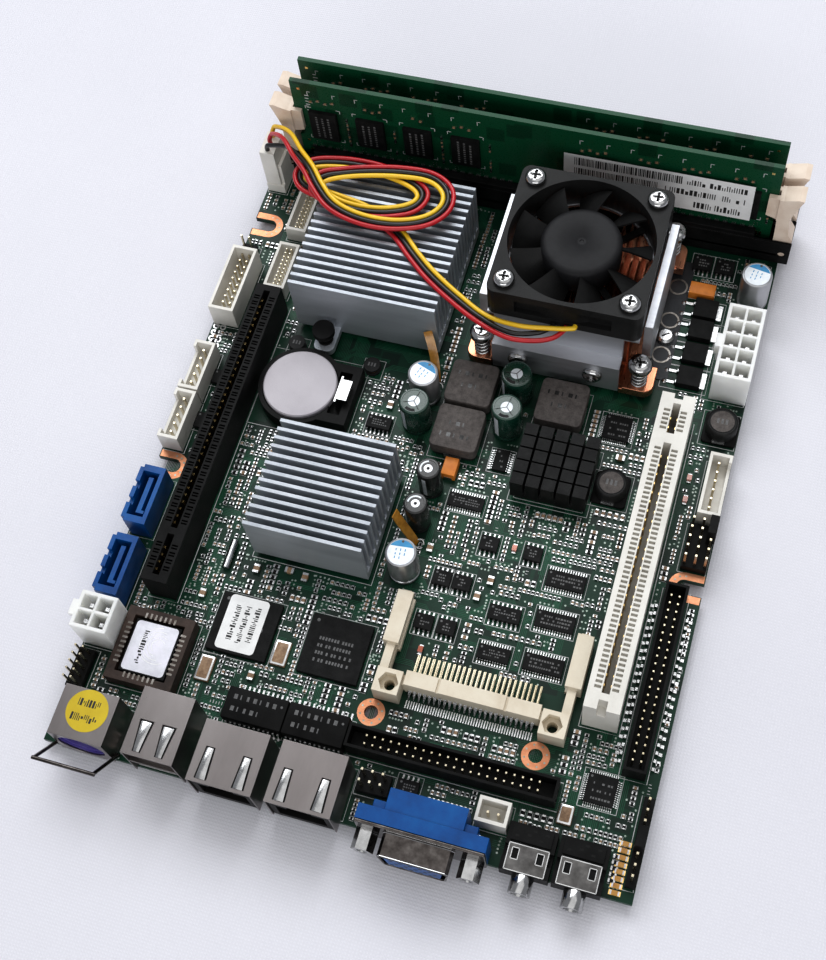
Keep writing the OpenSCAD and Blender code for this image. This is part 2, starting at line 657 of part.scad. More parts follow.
module rj45_shell(x)
    difference() {
        open_shell([x, x + 16.1], [-2.4, 12.6], 13.2);
        for (fx = [x + 3.4, x + 12.6])
            translate([fx, -2.4, 12]) linear_extrude(2) difference() {
                polygon([[-1.5, 1], [1.5, 1], [1.1, 8.6], [-1.1, 8.6]]);
                polygon([[-1, 0], [1, 0], [0.7, 8], [-0.7, 8]]);
            }
    }

module rj45_shells() color("silver") placed()
    for (x = rj45_x) rj45_shell(x);

module rj45_insert(x)
    difference() {
        block([x + wall + 0.1, x + 15.6], [-2, 12.1], [0, 12.7]);
        block([x + 2.15, x + 13.95], [-3, 8], [2.2, 9.2]);
        block([x + 5, x + 11.1], [-3, 6], [9.1, 11]);
    }

module port_inserts() color([0.2, 0.2, 0.22]) placed() {
    for (x = rj45_x) rj45_insert(x);
    xc = (ps2[0][0] + ps2[0][1]) / 2;
    difference() {
        block([ps2[0][0] + 0.5, ps2[0][1] - 0.5], [ps2[1][0] + 0.5, ps2[1][1] - 0.5], [0, 12.5]);
        difference() {
            translate([xc, ps2[1][0], 6.6]) rotate([-90, 0, 0]) cylinder(r = 4.8, h = 8);
            block([xc - 1.2, xc + 1.2], [ps2[1][0] + 1.4, ps2[1][1]], [8.4, 12]);
        }
        translate([xc, ps2[1][0], 6.6]) rotate([-90, 0, 0]) cylinder(r = 5.6, h = 1);
    }
    for (z = [3, 10.6])
        block([26, 36.8], [1.2, 13.2], [z - 0.2, z + 1.5]);
    block([25.4, 37.4], [12.6, 15.2], [0, 7.2]);
    block([25.4, 37.4], [12.6, 15.2], [8, 14.7]);
}

vga_front = -1;

module vga_body() color([0.1, 0.33, 0.7]) placed() {
    difference() {
        union() {
            block([vga_x - 15.4, vga_x + 15.4], [vga_front + 0.9, 3.4], [0, 12.5]);
            block([vga_x - 12.4, vga_x + 12.4], [3.3, 5.4], [0, 11]);
            block([vga_x - 9.3, vga_x + 9.3], [3.3, 8.6], [0, 12.3]);
        }
        for (side = [-1, 1])
            translate([vga_x + side * 12.5, vga_front - 1, 6.3]) rotate([-90, 0, 0])
                cylinder(r = 1.6, h = 8);
    }
    translate([vga_x, vga_front + 1, 6.3]) rotate([90, 0, 0]) linear_extrude(6.7)
        polygon([[-7, 3], [7, 3], [6.2, -3], [-6.2, -3]]);
}

d_outer = [[-8.4, 3.4], [-7.6, 4.2], [7.6, 4.2], [8.4, 3.4],
    [7.4, -3.4], [6.6, -4.2], [-6.6, -4.2], [-7.4, -3.4]];
d_inner = [[-8, 3.3], [-7.4, 3.8], [7.4, 3.8], [8, 3.3],
    [7, -3.3], [6.4, -3.8], [-6.4, -3.8], [-7, -3.3]];

module vga_shell() color("silver") placed()
    difference() {
        union() {
            block([vga_x - 15.4, vga_x + 15.4], [vga_front, vga_front + 0.9], [0, 12.5]);
            translate([vga_x, vga_front + 0.5, 6.3]) rotate([90, 0, 0]) linear_extrude(6.3) polygon(d_outer);
        }
        translate([vga_x, vga_front + 3, 6.3]) rotate([90, 0, 0]) linear_extrude(14) polygon(d_inner);
        for (side = [-1, 1])
            translate([vga_x + side * 12.5, vga_front - 1, 6.3]) rotate([-90, 0, 0])
                cylinder(r = 1.6, h = 8);
    }

// Hexagonal standoffs, tapped for the cable's screws
module vga_jackscrews() color("silver") placed()
    for (side = [-1, 1])
        translate([vga_x + side * 12.5, vga_front, 6.3]) rotate([90, 0, 0]) difference() {
            union() {
                cylinder(r = 2.7, h = 5, $fn = 6);
                translate([0, 0, -5.4]) cylinder(r = 1.5, h = 5.6);
            }
            translate([0, 0, -1]) cylinder(r = 1.25, h = 7);
        }

audio_z = 2.8;

module audio_jacks() color([0.08, 0.08, 0.09]) placed()
    for (x = audio_x)
        difference() {
            union() {
                block([x, x + 11.4], [-1, 10.2], [0, 5]);
                block([x + 1, x + 10.4], [6, 9.6], [4.9, 5.6]);
            }
            translate([x + 5.7, -2, audio_z]) rotate([-90, 0, 0]) cylinder(r = 1.8, h = 11);
            block([x - 1, x + 0.8], [2, 5], [3.4, 6]);
            block([x + 10.6, x + 12], [2, 5], [3.4, 6]);
        }

module audio_sleeves() color("silver") placed()
    for (x = audio_x) {
        translate([x + 5.7, -1, audio_z]) rotate([90, 0, 0]) difference() {
            cylinder(r = 2.6, h = 4.3);
            translate([0, 0, -1]) cylinder(r = 1.8, h = 7);
        }
        difference() {
            block([x + 1, x + 10.4], [-0.9, 5.4], [5.02, 5.4]);
            block([x + 2, x + 3.6], [1.8, 4.4], [4, 6]);
            block([x + 7.8, x + 9.4], [1.8, 4.4], [4, 6]);
        }
    }

// ---- Memory card header ----

card_x = 98.9;

module card_header() color([0.93, 0.88, 0.76]) placed() {
    for (side = [-1, 1])
        translate([card_x, 0, 0]) mirror([side > 0 ? 0 : 1, 0, 0]) {
            difference() {
                block([17.2, 23.6], [31, 37.2], [0, 7]);
                translate([20.1, 33.9, -1]) cylinder(r = 1.3, h = 9);
                translate([20.1, 33.9, 4.2]) cylinder(r = 2.5, h = 4, $fn = 6);
            }
            difference() {
                union() {
                    block([21.4, 23.6], [37.1, 58], [0.4, 5.6]);
                    block([20.6, 24.6], [43.8, 57.4], [0.4, 6.8]);
                }
                block([20, 22], [38, 59], [2, 5]);
            }
            block([16, 17.3], [34.6, 37], [0.6, 5]);
        }
    difference() {
        block([card_x - 16.7, card_x + 16.7], [34.4, 38.1], [0.5, 6.2]);
        for (x = [card_x - 8.4, card_x + 8.4]) block([x - 0.3, x + 0.3], [34, 39], [5.6, 7]);
    }
}

// ---- Soldered components ----

module bios_socket() color([0.36, 0.28, 0.24]) placed()
    difference() {
        block([9.9, 27.6], [17.8, 37.1], [0, 4.6]);
        block([12.1, 25.4], [20, 34.9], [1.4, 6]);
    }

module chip(x, y, h) block(x, y, [0.12, h]);

module ic_packages() color([0.12, 0.12, 0.13]) placed() {
    block([12.7, 24.8], [20.6, 34.3], [1.4, 4]);
    block([30.9, 46.6], [32.2, 47.6], [0, 1.5]);
    block([54.8, 70.4], [32.4, 47.9], [0, 1.5]);
    chip([112, 119], [113.3, 120.2], 1.4);
    chip([129.8, 136.8], [19.8, 26.8], 1.4);
    for (y = [69.7, 58.7, 47.2]) chip([108, 117.8], [y, y + 4.4], 1.1);
    chip([96.5, 104.5], [57.6, 61.4], 1.6);
    chip([96.5, 104.5], [47.2, 50.9], 1.1);
    chip([78.4, 87.6], [84.9, 88.6], 1.1);
    for (p = [[89.6, 74.9], [100.9, 74.9], [80.6, 62.9], [85.8, 62.9], [79.4, 50.6], [85.2, 50.6]])
        chip([p[0], p[0] + 4.6], [p[1], p[1] + 3.9], 1.6);
    chip([86.8, 90.4], [97.4, 103.5], 1.1);
    chip([87.1, 92.3], [10.1, 13.7], 1.3);
    for (x = [124, 130.1]) chip([x, x + 5], [169.8, 174.1], 1.6);
    chip([51.3, 57.8], [101.3, 104.9], 1.7);
    for (y = [132.9, 140.3, 147.7, 154.4]) chip([127.2, 133.4], [y, y + 5.7], 2.4);
    chip([6.2, 9.2], [104, 108.1], 1.5);
    chip([6.2, 9.2], [90, 94.6], 1.5);
}

module magnetics() color([0.45, 0.42, 0.42]) placed() {
    soft_block([69.8, 82.3], [111.9, 124.5], [0.1, 6], 1);
    soft_block([69.8, 82.3], [98.1, 110.7], [0.1, 6], 1);
    soft_block([94, 106.6], [111.8, 124.6], [0.1, 6], 1);
    for (x = [41.8, 57.3]) block([x, x + 15.2], [15.6, 23.5], [0.3, 5.6]);
    for (p = [[117.9, 99.2], [141.3, 123]]) translate([p[0], p[1], 0]) {
        soft_block([-4.5, 4.5], [-4.5, 4.5], [0, 1], 1);
        translate([0, 0, 0.9]) cylinder(r = 4.1, h = 4.3);
    }
    for (p = [[25.7, 120.8], [47.8, 119]]) translate([p[0], p[1], 0]) cylinder(r = 2.3, h = 2.6);
}

module can(p, r, h) translate([p[0], p[1], 0]) {
    translate([0, 0, 0.3]) cylinder(r = r, h = h - 0.3);
    cylinder(r = r * 0.9, h = 0.4);
}

module capacitors() color([0.75, 0.76, 0.78]) placed() {
    for (p = [[64.1, 114.7], [64.2, 106.2], [87.8, 120.3], [87.8, 110.2], [73.1, 64.8]]) can(p, 4, 12);
    can([141.5, 163.6], 4, 13);
    for (p = [[73.2, 88.5], [72.8, 78.4]]) can(p, 3.1, 12);
    block([124.6, 131.8], [160.7, 164.8], [0, 2.9]);
    block([74.6, 78.6], [91.9, 97.4], [0, 2.9]);
    block([47.6, 51.7], [32.5, 39], [0, 1.1]);
    block([30.6, 34.5], [24, 30.6], [0, 1.1]);
    block([125, 128.5], [13.3, 18], [0, 1.1]);
    translate([28.6, 53.6, 1.1]) rotate([-90, 0, 0]) cylinder(r = 1, h = 7.8);
}

// ---- Fan wires ----

wire_r = 0.65;
// Each wire leaves the fan's front edge, lies over the large heatsink's fins, makes two loops of
// slack there and ends on top of the plug
yellow_route = [[100.6, 130.3, 24.4], [100.4, 129.4, 24.4], [93.6, 127.9, 24.4], [86.4, 127.3, 23.9],
    [77.5, 129.3, 22.3], [69.1, 133.7, 22.3], [61.1, 138.7, 22.7], [54.8, 143.9, 22.7],
    [49.2, 149.2, 22.7], [42.8, 152.9, 22.7], [36.3, 155.1, 22.7], [29.4, 156.4, 22.7],
    [23.5, 157.5, 22.8], [19.2, 158.9, 23.2], [18.4, 160.4, 23.7], [20.1, 162.6, 24.1],
    [26.1, 164.4, 24.1], [33.6, 164.9, 24.1], [40.7, 164.2, 24.1], [47.1, 162.5, 24.1],
    [50.2, 160.1, 24.1], [49.3, 157.4, 24.1], [44.2, 154.7, 24.1], [37.9, 153.5, 24.1],
    [31.9, 153.7, 24.2], [27.3, 154.9, 24.5], [24.9, 156.6, 24.9], [25, 158.1, 25.3],
    [29.3, 160.4, 25.5], [36.9, 162.7, 25.5], [45.4, 164.2, 25.5], [52.6, 164.2, 25.5],
    [56.8, 161.5, 25.4], [57.5, 157.8, 25.2], [54.8, 153.7, 25.2], [49, 150.8, 25.3],
    [42.1, 149.7, 25.5], [35.3, 150.3, 25.7], [29.5, 152.3, 26.2], [24.9, 156.3, 26.9],
    [20.6, 161.4, 26.8], [15.5, 166.4, 25.8], [10, 172.4, 24.4], [3.5, 176.3, 20.6],
    [2.6, 175.7, 18.6], [2.6, 175.7, 17]];
red_route = [[98.2, 130.3, 23.1], [98.1, 129.4, 23], [95.8, 126.4, 22.9], [91, 124.5, 22.7],
    [84.5, 124, 22.6], [76.4, 126.7, 22.3], [67.7, 131.2, 22.3], [59.4, 136.4, 22.7],
    [53, 141.8, 22.7], [47.5, 146.9, 22.7], [41.6, 150.3, 22.7], [35.6, 152.3, 22.7],
    [28.9, 153.6, 22.7], [22.8, 154.7, 22.8], [17.5, 156.6, 23.2], [15.5, 160.9, 23.7],
    [18.6, 165, 24.1], [25.6, 167.2, 24.1], [33.6, 167.8, 24.1], [41.2, 167, 24.1], [48.3, 165, 24.1],
    [52.9, 161.1, 24.1], [51.4, 155.4, 24.1], [45.1, 152, 24.1], [38.1, 150.7, 24.1],
    [31.5, 150.8, 24.2], [26.1, 152.3, 24.5], [21.8, 155.1, 24.9], [22.3, 160.2, 25.3],
    [28.3, 163.1, 25.5], [36.2, 165.5, 25.5], [45.1, 167.1, 25.5], [53.3, 166.9, 25.5],
    [59.1, 163.2, 25.4], [60.3, 157.1, 25.2], [56.7, 151.5, 25.2], [49.8, 148.1, 25.3],
    [42.2, 146.8, 25.5], [34.7, 147.5, 25.7], [28.1, 149.8, 26.2], [22.9, 154.3, 26.9],
    [18.5, 159.5, 26.8], [13.8, 164.2, 25.8], [9, 169.6, 24.9], [3.7, 173.5, 20.8], [2.6, 173.2, 18.5],
    [2.6, 173.2, 17]];
black_route = [[94.9, 130.3, 23.1], [94.8, 129.4, 23], [91.6, 127, 22.8], [85, 125.6, 22.6],
    [77, 128, 22.3], [68.4, 132.5, 22.3], [60.2, 137.5, 22.7], [53.9, 142.8, 22.7], [48.3, 148, 22.7],
    [42.2, 151.6, 22.7], [36, 153.7, 22.7], [29.2, 155, 22.7], [23.1, 156.1, 22.8],
    [18.3, 157.7, 23.2], [16.9, 160.6, 23.7], [19.4, 163.8, 24.1], [25.9, 165.8, 24.1],
    [33.6, 166.3, 24.1], [40.9, 165.6, 24.1], [47.7, 163.8, 24.1], [51.5, 160.6, 24.1],
    [50.3, 156.4, 24.1], [44.6, 153.3, 24.1], [38, 152.1, 24.1], [31.7, 152.3, 24.2],
    [26.7, 153.6, 24.5], [23.3, 155.8, 24.9], [23.6, 159.2, 25.3], [28.8, 161.7, 25.5],
    [36.6, 164.1, 25.5], [45.3, 165.7, 25.5], [53, 165.6, 25.5], [57.9, 162.3, 25.4],
    [58.9, 157.5, 25.2], [55.7, 152.6, 25.2], [49.4, 149.4, 25.3], [42.2, 148.3, 25.5],
    [35, 148.9, 25.7], [28.8, 151.1, 26.2], [23.9, 155.3, 26.9], [19.6, 160.5, 26.8],
    [14.6, 165.3, 24.9], [9.6, 169, 22.4], [3.3, 170.5, 19.4], [2.6, 170.7, 18.2], [2.6, 170.7, 17]];

// A direction along the route at point i, and two directions square to it
function along(r, i) = let (d = r[min(i + 1, len(r) - 1)] - r[max(i - 1, 0)]) d / norm(d);
function across(t) = let (s = abs(t[2]) > 0.9 ? cross(t, [0, 1, 0]) : cross(t, [0, 0, 1])) s / norm(s);
function ring(r, i, n) = let (t = along(r, i), u = across(t), v = cross(u, t))
    [for (k = [0 : n - 1]) r[i] + wire_r * (cos(k * 360 / n) * u + sin(k * 360 / n) * v)];

module tube(r, n = 8) {
    last = len(r) - 1;
    points = [for (i = [0 : last]) each ring(r, i, n)];
    sides = [for (i = [0 : last - 1], k = [0 : n - 1])
        [i * n + k, i * n + (k + 1) % n, (i + 1) * n + (k + 1) % n, (i + 1) * n + k]];
    polyhedron(points, concat(sides,
        [[for (k = [n - 1 : -1 : 0]) k]], [[for (k = [0 : n - 1]) last * n + k]]));
}

module wire_yellow() color("gold") placed() tube(yellow_route);
module wire_red() color("crimson") placed() tube(red_route);
module wire_black() color([0.1, 0.1, 0.1]) placed() tube(black_route);

pcb();
solder_tails();
pcie_slot();
pci_slot();
slot_contacts();
dimm_sockets();
memory_front();
memory_front_chips();
memory_back();
memory_back_chips();
latch_front_left();
latch_front_right();
latch_back_left();
latch_back_right();
fan_frame();
fan_rotor();
fan_bearing();
small_screws();
cooler_base();
cooler_fins();
cooler_bracket();
cooler_side_plates();
cooler_backplate();
spring_screws();
cooler_springs();
cpu_package();
chipset_heatsink();
io_hub_heatsink();
pin_fin_heatsink();
chipset_packages();
push_pins();
battery_holder();
coin_cell();
battery_clip();
sata_sockets();
power_headers();
ps2_shell();
ps2_bail();
usb_shell();
port_inserts();
rj45_shells();
vga_body();
vga_shell();
vga_jackscrews();
audio_jacks();
audio_sleeves();
card_header();
box_headers();
header_pins();
wafer_headers();
jumper_cap_right();
jumper_cap_edge();
bios_socket();
ic_packages();
magnetics();
capacitors();
fan_plug();
wire_yellow();
wire_red();
wire_black();
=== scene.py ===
"""Looks for the single board computer: materials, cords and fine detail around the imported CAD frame.

Detail is written in board space, in millimetres: x along the port edge, y towards the memory and
z up from the board's top face. at() turns a place in board space into the row frame, in metres.
"""

import math
import random

import bpy
from mathutils import Matrix, Vector


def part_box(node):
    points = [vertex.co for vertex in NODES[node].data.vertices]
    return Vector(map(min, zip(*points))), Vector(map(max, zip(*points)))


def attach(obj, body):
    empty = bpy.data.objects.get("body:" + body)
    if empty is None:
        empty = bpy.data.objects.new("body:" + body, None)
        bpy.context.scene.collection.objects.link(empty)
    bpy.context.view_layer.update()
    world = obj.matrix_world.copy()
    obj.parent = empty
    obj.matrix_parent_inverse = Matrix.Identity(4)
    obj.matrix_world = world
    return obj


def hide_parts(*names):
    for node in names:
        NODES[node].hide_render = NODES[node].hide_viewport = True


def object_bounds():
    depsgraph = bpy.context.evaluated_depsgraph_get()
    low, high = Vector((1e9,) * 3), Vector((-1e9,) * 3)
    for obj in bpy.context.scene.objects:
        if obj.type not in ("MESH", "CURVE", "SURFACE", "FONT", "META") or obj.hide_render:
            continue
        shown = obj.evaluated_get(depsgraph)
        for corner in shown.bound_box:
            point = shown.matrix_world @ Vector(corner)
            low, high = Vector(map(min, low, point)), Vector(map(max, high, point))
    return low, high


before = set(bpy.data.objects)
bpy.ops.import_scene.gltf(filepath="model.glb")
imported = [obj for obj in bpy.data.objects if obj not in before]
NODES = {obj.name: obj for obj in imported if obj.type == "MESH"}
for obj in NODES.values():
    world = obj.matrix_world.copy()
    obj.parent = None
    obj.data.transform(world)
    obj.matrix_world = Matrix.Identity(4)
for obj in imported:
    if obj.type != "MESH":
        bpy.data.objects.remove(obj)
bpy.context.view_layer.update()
MM = 0.001

pcb_low, pcb_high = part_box("pcb")
BOARD = Vector((pcb_low.x, pcb_low.y, pcb_high.z))
BOARD_X, BOARD_Y, BOARD_T = [(pcb_high[i] - pcb_low[i]) / MM for i in range(3)]
rng = random.Random(7)


def at(x, y, z=0.0):
    """A point in board space, as a vector in the row frame."""
    return BOARD + Vector((x, y, z)) * MM


def span(node):
    """A CAD node's box in board space: ((x0, x1), (y0, y1), (z0, z1))."""
    low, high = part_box(node)
    a, b = (low - BOARD) / MM, (high - BOARD) / MM
    return tuple((a[i], b[i]) for i in range(3))


def solids(node):
    """Boxes in board space of a CAD node's separate solids."""
    mesh = NODES[node].data
    first, group = {}, list(range(len(mesh.vertices)))

    def root(i):
        while group[i] != i:
            group[i] = group[group[i]]
            i = group[i]
        return i

    for v in mesh.vertices:
        key = tuple(round(c * 2e5) for c in v.co)
        group[root(v.index)] = root(first.setdefault(key, v.index))
    for edge in mesh.edges:
        group[root(edge.vertices[0])] = root(edge.vertices[1])
    corners = {}
    for v in mesh.vertices:
        corners.setdefault(root(v.index), []).append((v.co - BOARD) / MM)
    found = []
    for points in corners.values():
        found.append(tuple((min(p[i] for p in points), max(p[i] for p in points)) for i in range(3)))
    return sorted(found, key=lambda b: (round(b[0][0], 2), round(b[1][0], 2)))


def middle(box):
    return (box[0][0] + box[0][1]) / 2, (box[1][0] + box[1][1]) / 2


def near(centre, reach):
    """The span that ends at the same distance below and above a value."""
    return centre - reach, centre + reach


def wider(ends, by):
    """A span with both of its ends moved out, or in when by is negative."""
    return ends[0] - by, ends[1] + by


def polar(x, y, r, angle):
    """The point at distance r from (x, y), at an angle in radians."""
    return x + r * math.cos(angle), y + r * math.sin(angle)


# ---- Camera ----

def add_camera():
    """The photograph's viewpoint, above the port edge and to the right, with the board turned to the left."""
    data = bpy.data.cameras.new("camera")
    data.sensor_width = 36
    data.lens = 54.69
    data.clip_start, data.clip_end = 0.01, 20
    cam = bpy.data.objects.new("camera", data)
    bpy.context.scene.collection.objects.link(cam)
    forward = Vector((-0.19584, 0.39788, -0.89629))
    right = Vector((0.95534, 0.28368, -0.08282))
    up = right.cross(forward)
    turn = Matrix((right, up, -forward)).transposed()
    cam.matrix_world = Matrix.Translation(at(142.0, -61.0, 339.5)) @ turn.to_4x4()
    bpy.context.scene.camera = cam


add_camera()

# ---- Materials ----

FINISHES = {}


def add_node(tree, kind, **values):
    """A new node in a material, with its inputs or its own settings given by name."""
    made = tree.nodes.new(kind)
    for key, value in values.items():
        if key in made.inputs:
            made.inputs[key].default_value = value
        else:
            setattr(made, key, value)
    return made


def find_node(mat, kind):
    return next(n for n in mat.node_tree.nodes if n.type == kind)


def finish(name, tones, rough=0.5, metal=0.0, mottle=90, grain=1500, bump=0.08, stretch=(1, 1, 1),
           rough_range=0.12, specular=0.5, coat=0.0, patch=0.0):
    """A procedural finish. tones runs from the darkest to the lightest colour, which a slow noise
    mixes; a fine noise gives the surface its grain, and both move the roughness about rough."""
    mat = bpy.data.materials.new(name)
    mat.use_nodes = True
    tree = mat.node_tree
    tree.nodes.clear()

    def node(kind, **values):
        return add_node(tree, kind, **values)

    wire = tree.links.new
    out = node("ShaderNodeOutputMaterial")
    shader = node("ShaderNodeBsdfPrincipled", **{"Metallic": metal, "Specular IOR Level": specular,
                                                 "Coat Weight": coat, "Coat Roughness": 0.15})
    wire(shader.outputs[0], out.inputs[0])
    place = node("ShaderNodeTexCoord")
    mapped = node("ShaderNodeMapping", Scale=stretch)
    wire(place.outputs["Object"], mapped.inputs["Vector"])
    slow = node("ShaderNodeTexNoise", Scale=mottle, Detail=6.0, Roughness=0.62)
    fine = node("ShaderNodeTexNoise", Scale=grain, Detail=3.0, Roughness=0.55)
    wire(mapped.outputs[0], slow.inputs["Vector"])
    wire(mapped.outputs[0], fine.inputs["Vector"])
    ramp = node("ShaderNodeValToRGB")
    ramp.color_ramp.elements[0].position = 0.32
    ramp.color_ramp.elements[1].position = 0.68
    ramp.color_ramp.elements[0].color = (*tones[0], 1)
    ramp.color_ramp.elements[1].color = (*tones[-1], 1)
    for i, tone in enumerate(tones[1:-1], 1):
        stop = ramp.color_ramp.elements.new(0.32 + 0.36 * i / (len(tones) - 1))
        stop.color = (*tone, 1)
    wire(slow.outputs["Fac"], ramp.inputs["Fac"])
    colour = ramp.outputs["Color"]
    if patch:
        cells = node("ShaderNodeTexVoronoi", Scale=mottle * 3.0)
        wire(mapped.outputs[0], cells.inputs["Vector"])
        level = node("ShaderNodeMapRange", **{"From Max": 0.6, "To Min": 1.0 - patch})
        wire(cells.outputs["Distance"], level.inputs["Value"])
        mix = node("ShaderNodeMix", data_type="RGBA", blend_type="MULTIPLY", Factor=1.0)
        wire(colour, mix.inputs[6])
        wire(level.outputs[0], mix.inputs[7])
        colour = mix.outputs[2]
    wire(colour, shader.inputs["Base Color"])
    spread = node("ShaderNodeMapRange", **{"To Min": max(0.03, rough - rough_range),
                                           "To Max": min(1.0, rough + rough_range)})
    wire(fine.outputs["Fac"], spread.inputs["Value"])
    wire(spread.outputs[0], shader.inputs["Roughness"])
    relief = node("ShaderNodeBump", Strength=bump, Distance=0.0002)
    wire(fine.outputs["Fac"], relief.inputs["Height"])
    wire(relief.outputs[0], shader.inputs["Normal"])
    FINISHES[name] = mat
    return mat


def trace_finish(name, ground, copper, rough):
    """Solder mask over etched copper: pours, hatched areas and runs show as lighter green."""
    mat = finish(name, (ground, [c * 1.25 for c in ground]), rough, mottle=35, grain=2600, bump=0.05,
                 specular=0.25, coat=0.0)
    tree = mat.node_tree
    wire = tree.links.new
    pours = add_node(tree, "ShaderNodeTexVoronoi", distance="CHEBYCHEV", Scale=130, Randomness=0.9)
    edges = add_node(tree, "ShaderNodeMapRange", **{"From Min": 0.30, "From Max": 0.34})
    mix = add_node(tree, "ShaderNodeMix", data_type="RGBA")
    mix.inputs[7].default_value = (*copper, 1)
    wire(find_node(mat, "MAPPING").outputs[0], pours.inputs["Vector"])
    wire(pours.outputs["Distance"], edges.inputs["Value"])
    wire(edges.outputs[0], mix.inputs["Factor"])
    wire(find_node(mat, "VALTORGB").outputs["Color"], mix.inputs[6])
    wire(mix.outputs[2], find_node(mat, "BSDF_PRINCIPLED").inputs["Base Color"])


def grey(level, tint=(1, 1, 1)):
    return tuple(level * t for t in tint)


